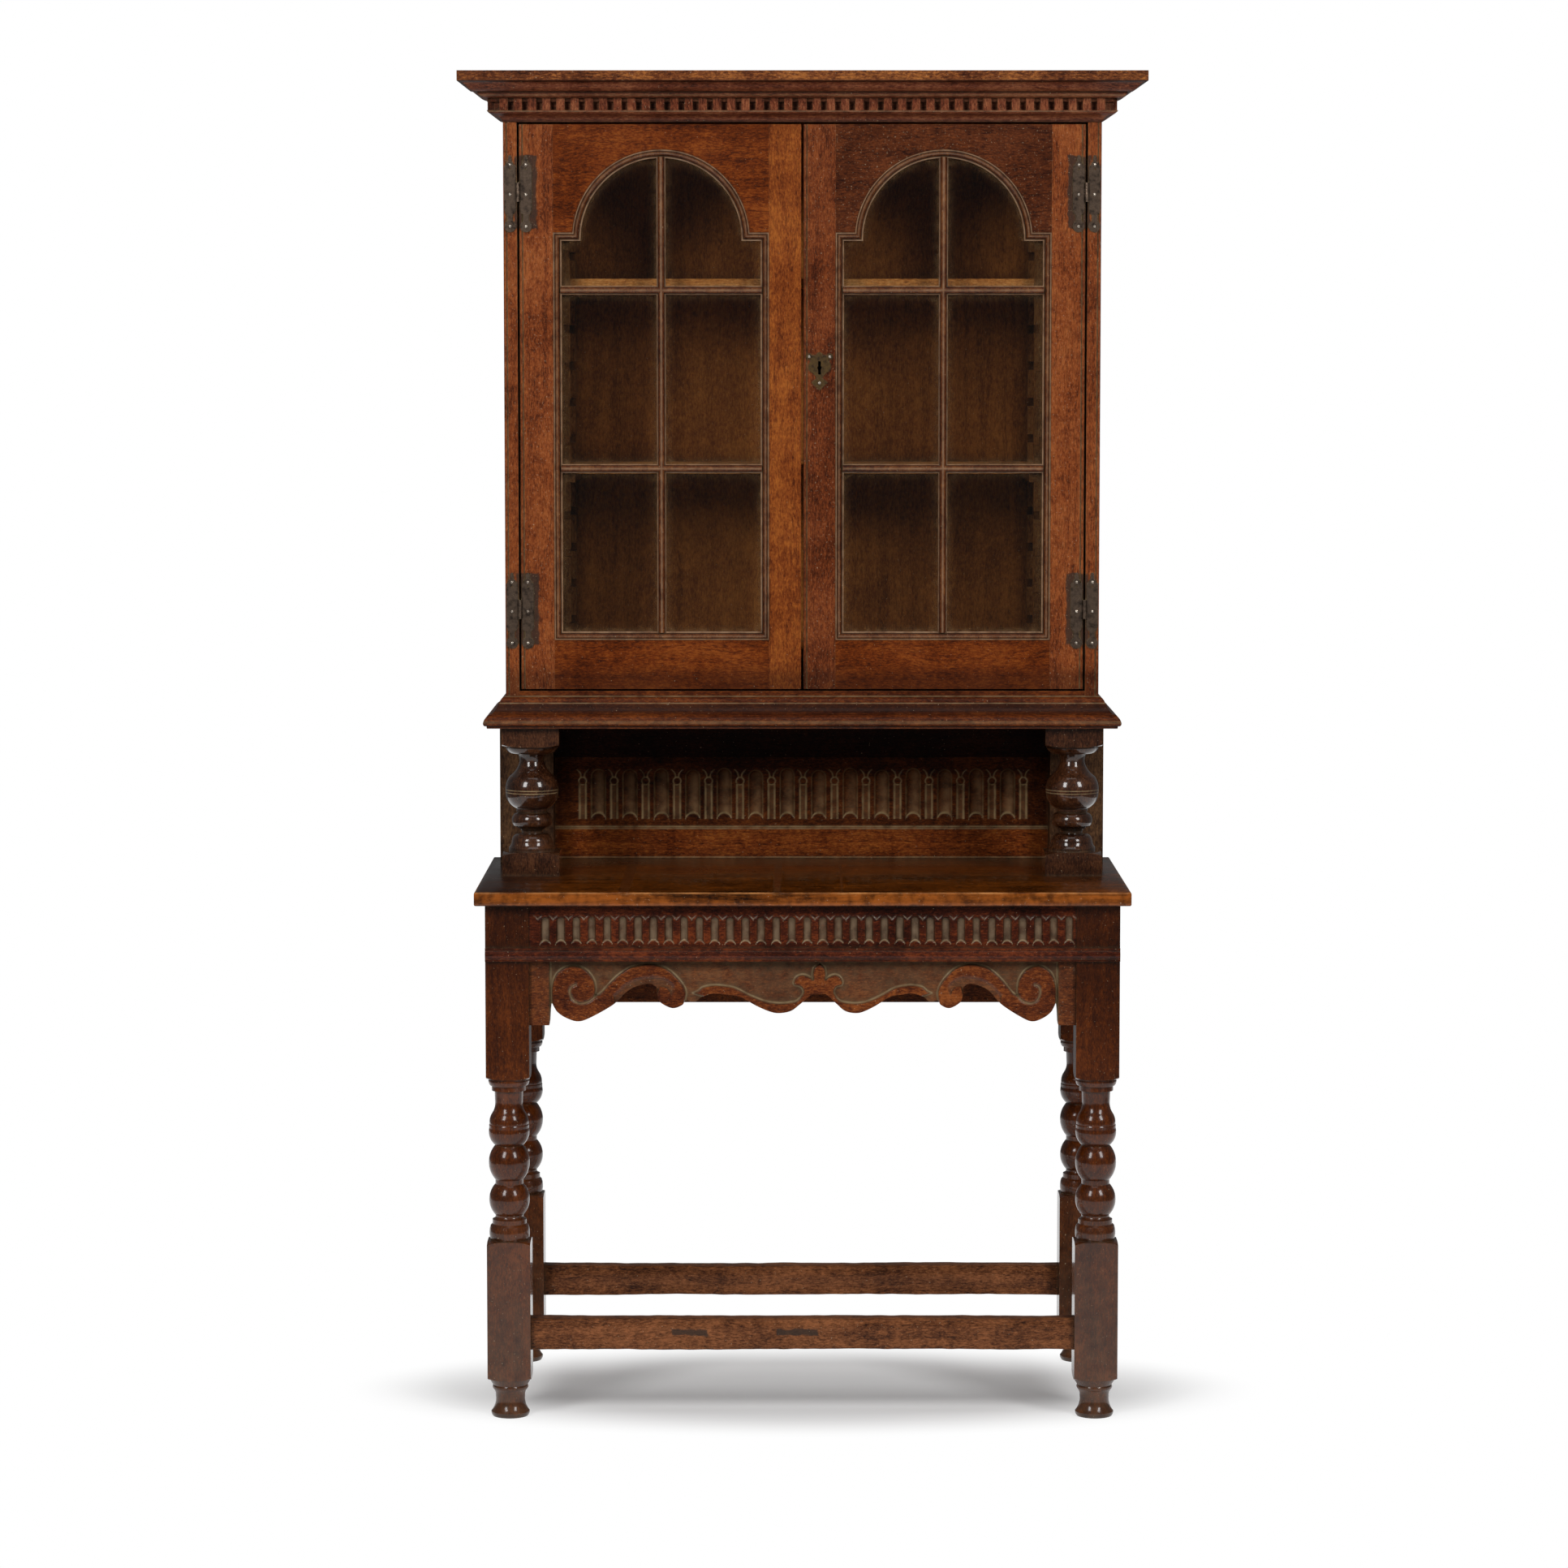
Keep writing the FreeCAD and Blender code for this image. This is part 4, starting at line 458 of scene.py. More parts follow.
def insidePath(x, z, path):
    inside = np.zeros(x.shape, bool)
    for (ax, az), (bx, bz) in zip(path, path[1:] + path[:1]):
        if az != bz:
            inside ^= ((az > z) != (bz > z)) & (x < (bx - ax) * (z - az) / (bz - az) + ax)
    return inside


def ease(value):
    value = np.clip(value, 0, 1)
    return value * value * (3 - 2 * value)


def ridge(gap, width):
    # a soft line: 1 on it, falling off over its width
    return np.exp(-(gap / width) ** 2)


def gougeFlute(f, u, z, half, headZ, footZ):
    # a round-headed channel that stops on an arched tongue, with a crescent cut along the tongue's edge
    radial = np.where(z > headZ, np.hypot(u, z - headZ), np.abs(u)) / half
    tongueHalf = half * f["tongueWide"]
    arch = np.sqrt(np.clip(1 - (u / tongueHalf) ** 2, 0, 1))
    above = z - footZ - (f["tongue"] - f["foot"]) * arch
    channel = np.sqrt(np.clip(1 - radial ** 2, 0, 1)) * ease(above / f["lip"])
    below, over = f["cut"]
    cut = (np.abs(u) < tongueHalf) & (z > f["foot"] - below) & (z < f["tongue"] + over)
    crescent = np.where(cut, ridge(above - f["crescentUp"], f["crescentLine"]), 0)
    return channel, crescent, radial, above


def carvePanel(name, node, step, carve, material, lowerEdge=None):
    # a fine grid over the board's face, pushed in by carve(x, z), with the board's thickness behind it
    low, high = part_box(node)
    bm = bmesh.new()
    bmesh.ops.create_grid(bm, x_segments=round((high.x - low.x) / step),
                          y_segments=round((high.z - low.z) / step), size=0.5)
    spots = np.array([v.co for v in bm.verts])
    x = low.x + (spots[:, 0] + 0.5) * (high.x - low.x)
    floorZ = low.z if lowerEdge is None else lowerEdge(x)
    z = floorZ + (spots[:, 1] + 0.5) * (high.z - floorZ)
    depth, dust, wax = carve(x, z)
    dustLayer, waxLayer = [bm.verts.layers.float.new(key) for key in ("dust", "wax")]
    for vert, vx, vz, vd, vDust, vWax in zip(bm.verts, x, z, depth, dust, wax):
        vert.co = (vx, low.y + vd, vz)
        vert[dustLayer] = vDust
        vert[waxLayer] = vWax
    walls = bmesh.ops.extrude_edge_only(bm, edges=[e for e in bm.edges if e.is_boundary])["geom"]
    for vert in [g for g in walls if isinstance(g, bmesh.types.BMVert)]:
        vert.co.y = high.y
        vert[dustLayer] = 0.0
        vert[waxLayer] = 0.0
    bmesh.ops.contextual_create(bm, geom=[e for e in bm.edges if e.is_boundary])
    addPiece(name, bm, material, "carcass", [node], sharpest=50)


# Frieze: a row of gouged flutes, each ending on a crescent, with a gull-wing nick between each pair; sines of
# the flute's number give the hand's unevenness
frieze = {"step": 0.8 * mm, "count": 35, "pitch": 19.79 * mm, "middle": 6 * mm, "half": 5.3 * mm,
          "deep": 5.4 * mm, "top": 656.5 * mm, "tongue": 625.5 * mm, "foot": 619.2 * mm, "tongueWide": 1.27,
          "lip": 0.9 * mm, "cut": (1 * mm, 2 * mm), "crescentUp": 0.3 * mm, "crescentLine": 0.75 * mm,
          "crescentDeep": 0.9 * mm, "shallow": 0.2,
          "nick": 652.5 * mm, "nickHalf": 6.8 * mm, "nickRise": 6 * mm, "nickThin": 0.5 * mm,
          "nickSwell": 1.4 * mm, "nickDeep": 1.1 * mm,
          "swaySeed": 12.9898, "sway": 0.25 * mm, "headSway": 0.6 * mm, "footSway": 0.4 * mm,
          "widthSeed": 7.3, "widthSway": 0.05,
          "dust": 0.9, "dustFrom": 0.35, "dustRun": 0.5, "crescentWax": 0.95, "nickWax": 0.5, "mostWax": 0.9}


def carveFrieze(x, z):
    f = frieze
    place = (x - f["middle"]) / f["pitch"]
    number = np.clip(np.round(place), -(f["count"] // 2), f["count"] // 2)
    wobble = np.sin(number * f["swaySeed"])
    u = (place - number) * f["pitch"] - wobble * f["sway"]
    half = f["half"] * (1 + f["widthSway"] * np.sin(number * f["widthSeed"]))
    headZ = f["top"] + wobble * f["headSway"] - half
    footZ = f["foot"] + wobble * f["footSway"]
    channel, crescent = gougeFlute(f, u, z, half, headZ, footZ)[:2]
    between = np.abs(place - np.floor(place) - 0.5) * f["pitch"]
    inRow = np.abs(place) < f["count"] / 2 + 0.4
    wing = np.clip(1 - between / f["nickHalf"], 0, 1)
    spine = f["nick"] + f["nickRise"] * (between / f["nickHalf"]) ** 0.7
    thick = f["nickThin"] + f["nickSwell"] * wing ** 2
    nick = inRow * ease(wing * 3) * np.clip(1 - np.abs(z - spine) / thick, 0, 1)
    depth = f["deep"] * channel + f["nickDeep"] * nick
    depth += f["crescentDeep"] * crescent * (channel < f["shallow"])
    dust = f["dust"] * ease((channel - f["dustFrom"]) / f["dustRun"])
    wax = np.clip(crescent * f["crescentWax"] + nick * f["nickWax"], 0, f["mostWax"])
    return depth, dust, wax


carvePanel("friezeCarved", "frieze_rail", frieze["step"], carveFrieze, makeOak("oakFrieze", "x"))

# Back board of the stage: wide round-headed flutes between ringed stems with curled horns
backCarving = {"step": 1.0 * mm, "stems": 15, "pitch": 42.9 * mm, "middle": 2 * mm, "half": 9.4 * mm,
               "deep": 5.5 * mm, "top": 811.5 * mm, "tongue": 751.5 * mm, "foot": 742 * mm,
               "tongueWide": 1.06, "lip": 1.1 * mm, "cut": (1.5 * mm, 3 * mm), "crescentUp": 0.4 * mm,
               "crescentLine": 1.0 * mm, "shallow": 0.2, "lineDeep": 1.1 * mm,
               "swaySeed": 9.17, "headSway": 1.5 * mm, "rimLine": 0.8 * mm, "rimOver": 3 * mm,
               "stemHalf": 5.9 * mm, "stemFloor": 2.4 * mm, "stemFoot": 743 * mm, "stemStart": 1.2 * mm,
               "stemUnder": 1.5 * mm, "stemDeep": 2.6 * mm,
               "ringZ": 795.5 * mm, "ringOuter": 5.9 * mm, "ringInner": 4.4 * mm, "ringLine": 0.85 * mm,
               "hornZ": 801 * mm, "hornFrom": 2.2 * mm, "hornSpread": 6 * mm, "hornCurl": 2.4,
               "hornLine": 0.9 * mm, "hornOver": 0.4 * mm, "ledge": 733 * mm, "ledgeLine": 1.3 * mm,
               # the flutes' dust is paler on their right side: painted light on the lit side of each channel
               "dust": {"flute": 0.15, "paintedLitSide": 0.6, "low": 0.2, "stem": 0.3}, "lowReach": 26 * mm,
               "paintedLitFrom": -0.75, "paintedLitRun": 1.3,
               "wax": {"ring": 1, "horn": 0.9, "crescent": 1, "rim": 0.5, "sides": 0.85, "ledge": 0.6}}


def carveBackBoard(x, z):
    f = backCarving
    place = (x - f["middle"]) / f["pitch"]
    reach = (f["stems"] - 1) / 2
    number = np.clip(np.floor(place) + 0.5, -reach + 0.5, reach - 0.5)
    u = (place - number) * f["pitch"]
    headZ = f["top"] + np.sin(number * f["swaySeed"]) * f["headSway"] - f["half"]
    channel, crescent, radial, above = gougeFlute(f, u, z, f["half"], headZ, f["foot"])
    rim = ridge((radial - 1) * f["half"], f["rimLine"]) * (above > 0) * (z < f["top"] + f["rimOver"])

    v = np.abs(place - np.clip(np.round(place), -reach, reach)) * f["pitch"]
    slope = np.clip((f["stemHalf"] - v) / (f["stemHalf"] - f["stemFloor"]), 0, 1)
    stemTop = f["ringZ"] - f["ringOuter"] + f["stemUnder"]
    tall = ease((z - f["stemFoot"]) / f["stemStart"]) * (z < stemTop)
    ring = ridge(np.hypot(v, z - f["ringZ"]) - (f["ringOuter"] + f["ringInner"]) / 2, f["ringLine"])
    climb = np.clip((z - f["hornZ"]) / (f["top"] - f["hornZ"]), 0, 1.02)
    horn = ridge(v - f["hornFrom"] - f["hornSpread"] * climb ** f["hornCurl"], f["hornLine"])
    horn = horn * (z > f["hornZ"]) * (z < f["top"] + f["hornOver"])
    depth = f["deep"] * channel + f["stemDeep"] * slope * tall
    depth += f["lineDeep"] * (ring + horn + crescent * (channel < f["shallow"]))

    low = np.clip(1 - (z - f["tongue"]) / f["lowReach"], 0, 1)
    # paler towards the right side of each flute: painted light on the lit side of the channel
    paintedLitSide = ease((u / f["half"] - f["paintedLitFrom"]) / f["paintedLitRun"])
    share = f["dust"]
    dust = channel * (share["flute"] + share["paintedLitSide"] * paintedLitSide + share["low"] * low) + share["stem"] * slope * tall
    lines = {"ring": ring, "horn": horn, "crescent": crescent, "rim": rim,
             "sides": np.clip(slope * (1 - slope) * 4, 0, 1) * tall,
             "ledge": ridge(z - f["ledge"], f["ledgeLine"])}
    wax = sum(f["wax"][key] * line for key, line in lines.items())
    return depth, np.clip(dust, 0, 1), np.clip(wax, 0, 1)


carvePanel("backBoardCarved", "carved_back_board", backCarving["step"], carveBackBoard,
           makeOak("oakShade", "x"))

# Apron: strapwork standing over a sunk ground. Outlines of the left half, in mm outwards from the carving's
# middle and down from the apron's top; the right half is the same, drawn in to reach its leg.
apron = {
    "step": 0.8 * mm, "middle": 22 * mm, "sunk": 6.0 * mm, "edge": 1.8, "bracketLevel": 0.7, "deepest": 84,
    "curlLine": 1.5, "curlDeep": 2.2 * mm, "hollowSlope": 5, "hollowDeep": 2.4 * mm,
    "dust": {"ground": 0.42, "edge": 0.45, "top": 0.4, "cuts": 0.4, "most": 0.9}, "dustEdge": 5,
    "dustTop": 12, "wax": {"edge": 0.8, "curl": 0.6, "most": 0.85}, "waxGap": 0.4, "waxLine": 1.0,
    "scroll": [(289.1, 45.8), (288.1, 35.9), (291.5, 22.5), (302.3, 10.5), (319.1, 6.1), (333.5, 11.7),
        (341.8, 22.5), (345.4, 38.3), (344.7, 56.4)],
    "scrollFoot": [(347, 120), (174, 120)],
    "stem": [(173.2, 52.2), (171.8, 44), (172.6, 38), (175.3, 32.2), (182.4, 22.5), (194.4, 11.7),
        (208.8, 5.6), (223.2, 4.6), (242.4, 8), (256.7, 16.5), (268.7, 27.4), (280.7, 40.7),
        (289.1, 45.8)],
    "curl": [(289.1, 45.8), (292.7, 49.6), (299.9, 54), (309.5, 55.2), (317.9, 50.4), (321.9, 40.7),
        (319.1, 33.4), (313.8, 31)],
    "hollow": [(266, 43), (259, 36), (249.6, 27.9), (232.8, 20.9), (213.6, 18.7), (199.2, 21.3),
        (188.4, 28.6), (185.3, 37.1), (190.1, 47.2)],
    "hook": [(190.8, 45.5), (193.2, 39.5), (198, 34.9), (206, 33.4)],
    "hollowFoot": [(215, 60), (262, 62)],
    "rim": [(163.5, 42.4), (157, 39.5), (150.1, 34.4), (136.9, 31.9), (122.5, 32.7), (108.1, 35.9),
        (88.9, 45.5), (69.8, 52.8), (53, 55.2), (36.2, 54), (27.8, 51.1), (21.3, 41.9), (24.2, 34.6),
        (32.1, 32.4)],
    "lobe": [(32.1, 32.4), (33.8, 28.6), (30.2, 21.3), (21.8, 18.2), (13.4, 20.9), (8.6, 24.5)],
    "petal": [(8.6, 24.5), (9.3, 17.7), (7.4, 9.2), (0, 3.4)],
    "rimFoot": [(-6, 3.4), (-6, 120), (140, 120), (147, 48)],
    "bracket": [(346.8, -9), (346.8, 120), (400, 120), (400, -9)],
    "edgeLine": [(0, 43.4), (9.4, 43.7), (24, 55.3), (36.7, 64.9), (51.7, 67.9), (64.1, 65.9), (81.7, 58.3),
        (101.9, 47.2), (118.3, 44.1), (137, 42.7), (150.4, 46.7), (161.1, 54.1), (172.6, 52.4),
        (177.2, 57.6), (189.6, 61.4), (204.6, 54.3), (208.6, 46), (209.2, 40), (210, 34.5),
        (221.1, 30), (244.7, 37.6), (264.9, 56.3), (294.9, 73.5), (311.4, 78.6), (327.5, 73.5),
        (338, 66), (345.5, 56.5), (348.2, 84), (352, 84), (376, 84)],
}


def apronShares(x):
    # distance outwards from the carving's middle, as it is on the longer left half
    low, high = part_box("apron")
    away = x - apron["middle"]
    drawnIn = (apron["middle"] - low.x) / (high.x - apron["middle"])
    return np.where(away < 0, -away, away * drawnIn) / mm


def apronEdge(x):
    outline = smoothThrough(apron["edgeLine"], 8)
    away = np.maximum.accumulate([p[0] for p in outline])
    drop = np.minimum([p[1] for p in outline], apron["deepest"])
    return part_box("apron")[1].z - np.interp(apronShares(x), away, drop) * mm


def carveApron(x, z):
    f = apron
    u = apronShares(x)
    drop = (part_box("apron")[1].z - z) / mm
    scroll, stem, curl, hollow, hook, rim, lobe, petal = [
        smoothThrough(f[key]) for key in ("scroll", "stem", "curl", "hollow", "hook", "rim", "lobe", "petal")]
    raised = np.zeros(x.shape)
    gap = np.full(x.shape, np.inf)
    for shape, level in ((scroll + f["scrollFoot"] + stem, 1), (rim + lobe + petal + f["rimFoot"], 1),
                         (f["bracket"], f["bracketLevel"])):
        inside = insidePath(u, drop, shape)
        away = pathDistance(u, drop, shape, closed=True)
        raised = np.maximum(raised, np.where(inside, level * ease(away / f["edge"]), 0))
        gap = np.minimum(gap, away)
    groove = ridge(pathDistance(u, drop, curl), f["curlLine"])
    scooped = insidePath(u, drop, hollow + hook + f["hollowFoot"])
    scoop = np.where(scooped, ease(pathDistance(u, drop, hollow) / f["hollowSlope"]), 0)
    ground = 1 - raised
    depth = f["sunk"] * ground + f["curlDeep"] * groove + f["hollowDeep"] * scoop
    share = f["dust"]
    dust = share["edge"] * np.exp(-gap / f["dustEdge"]) + share["top"] * np.exp(-drop / f["dustTop"])
    dust = ground * (share["ground"] + dust) + share["cuts"] * (scoop + groove)
    # a pale line round the strapwork: wax, and a painted highlight along its edges
    wax = f["wax"]["edge"] * ground * ridge(gap - f["waxGap"], f["waxLine"]) + f["wax"]["curl"] * groove
    return depth, np.clip(dust, 0, share["most"]), np.clip(wax, 0, f["wax"]["most"])


carvePanel("apronCarved", "apron", apron["step"], carveApron, makeOak("oakCarved", "x"), apronEdge)
print("carving made")

# Door glazing: a moulded sticking round each light and astragal bars across it. Each outline is
# (mm in from the edge of the light, mm back from the door's face, tint: above 0 pale wax and dust with
# painted highlights on the crests, below 0 painted shade in the quirks).
glazing = {
    "radius": 116 * mm, "steps": 49, "barHeights": (1226 * mm, 1458.5 * mm), "overlap": 9.5 * mm,
    "sticking": [(0, 0.4, -0.8), (0.3, -0.8, 0.4), (1.5, -0.9, 0.75), (1.8, 0.3, 0), (2.4, 0.6, -0.9),
        (3.2, 0, 0), (4.8, 0.3, 0.35), (6.4, 1.3, 0), (7.6, 2.9, 0), (8.3, 4.8, -0.9),
        (8.5, 5.6, -0.9), (9.6, 5.8, 0.6), (10.6, 6.3, 0.8), (11, 6.8, 0), (11, 13.5, -0.5),
        (0, 13.5, -0.5)],
    "bar": [(-5.85, 13.5, -0.5), (-5.85, 6.4, 0.2), (-5.4, 5.8, 0.8), (-4.3, 5.5, 0), (-4.0, 3.6, -0.9),
        (-3.3, 1.8, 0), (-1.9, 0.7, 0), (0, 0.3, 0.55), (1.9, 0.7, 0), (3.3, 1.8, 0), (4.0, 3.6, -0.9),
        (4.3, 5.5, 0), (5.4, 5.8, 0.8), (5.85, 6.4, 0.2), (5.85, 13.5, -0.5)],
}


def tint(bm, verts, amount):
    for vert in verts:
        vert[bm.verts.layers.float["wax"]] = max(amount, 0)
        vert[bm.verts.layers.float["blackened"]] = max(-amount, 0)


def loftRings(bm, rings):
    # closed rings of equal count, each with its tint, skinned one to the next and the last back to the first
    loops = []
    for ring, amount in rings:
        verts = [bm.verts.new(point) for point in ring]
        tint(bm, verts, amount)
        loops.append([bm.edges.new(pair) for pair in zip(verts, verts[1:] + verts[:1])])
    for near, far in zip(loops, loops[1:] + loops[:1]):
        bmesh.ops.bridge_loops(bm, edges=near + far)


def lightRing(side, inset, depth):
    low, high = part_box(f"{side}_door_glazing_bars")
    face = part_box(f"{side}_door_hinge_stile")[0].y
    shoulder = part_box(f"{side}_door_top_rail")[0].z - inset
    radius = glazing["radius"] - inset
    centreZ = high.z - glazing["radius"]
    middle = (low.x + high.x) / 2
    spring = math.asin((shoulder - centreZ) / radius)
    arch = [(middle + radius * math.cos(a), centreZ + radius * math.sin(a))
            for a in np.linspace(spring, math.pi - spring, glazing["steps"])]
    corners = [(low.x + inset, low.z + inset), (high.x - inset, low.z + inset), (high.x - inset, shoulder)]
    return [(x, face + depth, z) for x, z in corners + arch + [(low.x + inset, shoulder)]]


def addBar(bm, start, end, face):
    # a bar between two points in the door's plane, with the astragal outline across it
    run = Vector((end[0] - start[0], 0, end[1] - start[1]))
    across = run.cross(Vector((0, 1, 0))).normalized()
    origin = Vector((start[0], face, start[1]))
    verts = []
    for away, back, amount in glazing["bar"]:
        verts.append(bm.verts.new(origin + across * away * mm + Vector((0, back * mm, 0))))
        tint(bm, verts[-1:], amount)
    cap = bmesh.ops.contextual_create(bm, geom=verts)["faces"]
    grown = bmesh.ops.extrude_face_region(bm, geom=cap, use_keep_orig=True)["geom"]
    bmesh.ops.translate(bm, verts=[g for g in grown if isinstance(g, bmesh.types.BMVert)], vec=run)


for side in ("left", "right"):
    bm = bmesh.new()
    for key in ("wax", "blackened"):
        bm.verts.layers.float.new(key)
    loftRings(bm, [(lightRing(side, inset * mm, back * mm), amount)
                   for inset, back, amount in glazing["sticking"]])
    low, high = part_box(f"{side}_door_glazing_bars")
    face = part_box(f"{side}_door_hinge_stile")[0].y
    middle = (low.x + high.x) / 2
    overlap = glazing["overlap"]
    addBar(bm, (middle, low.z + overlap), (middle, high.z - overlap), face)
    for height in glazing["barHeights"]:
        addBar(bm, (low.x + overlap, height), (high.x - overlap, height), face)
    addPiece(f"{side}DoorSticking", bm, makeOak("oakSticking", "z"), f"{side}_door",
             [f"{side}_door_glazing_bars"])
print("glazing made")

# Stretchers: worn hollow by feet along their edges. Roundings in mm: near side low, high, far side low, high.
stretchers = {"long_stretchers": {"axis": 0, "cuts": 160, "wander": 1.6 * mm},
              "side_stretchers": {"axis": 1, "cuts": 70, "wander": 1.2 * mm}}
stretcherWear = {"thick": 26 * mm, "nearSoft": (1.2, 5.0, 1.2, 1.6), "farSoft": (1.2, 1.6, 1.2, 5.0),
                 "soundEnd": 25 * mm, "bias": 0.35, "slow": 9, "fine": 60, "fineShare": 0.35}


def inBox(vert, low, high):
    return all(low[k] - mm <= vert.co[k] <= high[k] + mm for k in range(3))


def wornBar(bm, low, high, look, roundings):
    axis = look["axis"]
    across = 1 - axis
    middle = (low + high) / 2
    size = high - low
    made = bmesh.ops.create_cube(bm, size=1.0, matrix=Matrix.LocRotScale(middle, None, size))["verts"]
    edges = dict.fromkeys(e for v in made for e in v.link_edges)
    for edge in [e for e in edges if abs((e.verts[0].co - e.verts[1].co)[axis]) > size[axis] * 0.9]:
        spot = (edge.verts[0].co + edge.verts[1].co) / 2
        rounding = roundings[(spot[across] > middle[across]) * 2 + (spot.z > middle.z)]
        bmesh.ops.bevel(bm, geom=[edge], offset=rounding * mm, segments=4, profile=0.5, affect="EDGES",
                        material=-1)
    run = [e for e in bm.edges if all(inBox(v, low, high) for v in e.verts)
           and abs((e.verts[0].co - e.verts[1].co)[axis]) > size[axis] * 0.5]
    bmesh.ops.subdivide_edges(bm, edges=run, cuts=look["cuts"])
    for vert in [v for v in bm.verts if inBox(v, low, high)]:
        out = vert.co - middle
        t = vert.co[axis]
        nearEnd = min(t - low[axis], high[axis] - t)
        amount = look["wander"] * min(1.0, max(nearEnd, 0) / stretcherWear["soundEnd"])
        seed = 3.7 * (out.z > 0) + 9.1 * (out[across] > 0) + low.y * 17  # each edge wears its own way
        slow = noise.noise(Vector((t * stretcherWear["slow"], seed, 0.3)))
        fine = noise.noise(Vector((t * stretcherWear["fine"], seed, 4.1)))
        worn = max(0, stretcherWear["bias"] + slow) + stretcherWear["fineShare"] * fine
        vert.co.z -= math.copysign(1, out.z) * amount * worn


for node, look in stretchers.items():
    low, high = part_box(node)
    across = 1 - look["axis"]
    bm = bmesh.new()
    nearHigh, farLow = high.copy(), low.copy()
    nearHigh[across] = low[across] + stretcherWear["thick"]
    farLow[across] = high[across] - stretcherWear["thick"]
    wornBar(bm, low, nearHigh, look, stretcherWear["nearSoft"])
    wornBar(bm, farLow, high, look, stretcherWear["nearSoft" if across else "farSoft"])
    addPiece(node.split("_")[0] + "StretchersWorn", bm, makeOak("oakLow", "xy"[look["axis"]]), "carcass",
             [node], sharpest=40)

# Table top: dark polished board, its front edge rubbed golden and chipped. Sizes in mm, scales per metre.
tableTop = {"cuts": 240, "rounding": 2.4, "front": 2.3, "arris": (0.05, 0.95), "soundEnd": 6,
            "chip": 2.6, "chipScale": 46, "chipFrom": 0.38, "chipGain": 2.2, "chipBack": 0.6,
            "rippleScale": 11, "rippleDown": 0.7, "rippleBack": 0.4, "waxScale": 23, "wax": 0.6,
            "black": 0.85, "blackFrom": 300, "blackRun": 100}
low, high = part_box("table_top")
bm = bmesh.new()
bmesh.ops.create_cube(bm, size=1.0, matrix=Matrix.LocRotScale((low + high) / 2, None, high - low))
outer = [e for e in bm.edges if abs(e.verts[0].co.z - e.verts[1].co.z) < mm]
bmesh.ops.bevel(bm, geom=outer, offset=tableTop["rounding"] * mm, segments=3, profile=0.5, affect="EDGES",
                material=-1)
crosswise = [e for e in bm.edges if abs(e.verts[0].co.x - e.verts[1].co.x) > high.x]
bmesh.ops.subdivide_edges(bm, edges=crosswise, cuts=tableTop["cuts"])
worn, blackened, wax = [bm.verts.layers.float.new(key) for key in ("worn", "blackened", "wax")]
for vert in bm.verts:
    x = vert.co.x
    frontness = 1 - min((vert.co.y - low.y) / (tableTop["front"] * mm), 1)
    rise = 1 if vert.co.z > (low.z + high.z) / 2 else -1
    arris = rise > 0 and tableTop["arris"][0] < frontness < tableTop["arris"][1]
    if frontness > 0 and abs(x) < high.x - tableTop["soundEnd"] * mm:
        chip = noise.noise(Vector((x * tableTop["chipScale"], rise * 3.0, 0.7))) - tableTop["chipFrom"]
        chip = max(0, chip) * tableTop["chipGain"] * tableTop["chip"]
        ripple = 0.5 + 0.5 * noise.noise(Vector((x * tableTop["rippleScale"], rise * 5.0, 2.2)))
        vert.co.z -= rise * (chip + ripple * tableTop["rippleDown"]) * frontness * mm
        vert.co.y += (chip * tableTop["chipBack"] + ripple * tableTop["rippleBack"]) * frontness * mm
    darkEnd = float(ease((-x - tableTop["blackFrom"] * mm) / (tableTop["blackRun"] * mm)))
    vert[worn] = frontness
    # a pale line along the front arris: worn varnish and a painted highlight
    vert[wax] = arris * max(0, tableTop["wax"] + noise.noise(Vector((x * tableTop["waxScale"], 8.1, 1.9))))
    vert[blackened] = tableTop["black"] * darkEnd * (1 - frontness)
addPiece("tableTopWorn", bm, makeOak("oakTop", "x"), "carcass", ["table_top"])
print("worn boards made")

# camera fitted to the photograph
view = {"lens": 109.33, "sensor": 36, "place": (-0.0239, -6.264, 1.3954), "pitchDown": 5.341}
camera = bpy.data.cameras.new("camera")
camera.lens = view["lens"]
camera.sensor_width = view["sensor"]
cameraObject = bpy.data.objects.new("camera", camera)
scene.collection.objects.link(cameraObject)
cameraObject.location = view["place"]
cameraObject.rotation_euler = (math.radians(90 - view["pitchDown"]), 0, 0)
scene.camera = cameraObject

# two soft boxes in front, weak ones overhead and behind; the one behind is kept out of the polish
lamps = {
    "softBoxLeft": {"place": (-2.4, -3.6, 3.0), "aimZ": 0.9, "size": (1.2, 2.1), "power": 98, "shine": True},
    "softBoxRight": {"place": (2.6, -3.5, 3.1), "aimZ": 0.9, "size": (1.2, 2.1), "power": 98, "shine": True},
    "overhead": {"place": (0, -1.5, 4.2), "aimZ": 0.8, "size": (2.4, 1.2), "power": 10, "shine": True},
    "behind": {"place": (0.4, 3.6, 3.0), "aimZ": 0.9, "size": (3.4, 1.6), "power": 26, "shine": False},
}
for name, lamp in lamps.items():
    light = bpy.data.lights.new(name, "AREA")
    light.shape = "RECTANGLE"
    light.size, light.size_y = lamp["size"]
    light.energy = lamp["power"]
    lightObject = bpy.data.objects.new(name, light)
    scene.collection.objects.link(lightObject)
    lightObject.visible_glossy = lamp["shine"]
    lightObject.location = lamp["place"]
    towards = Vector((0, 0, lamp["aimZ"])) - Vector(lamp["place"])
    lightObject.rotation_euler = towards.to_track_quat("-Z", "Y").to_euler()

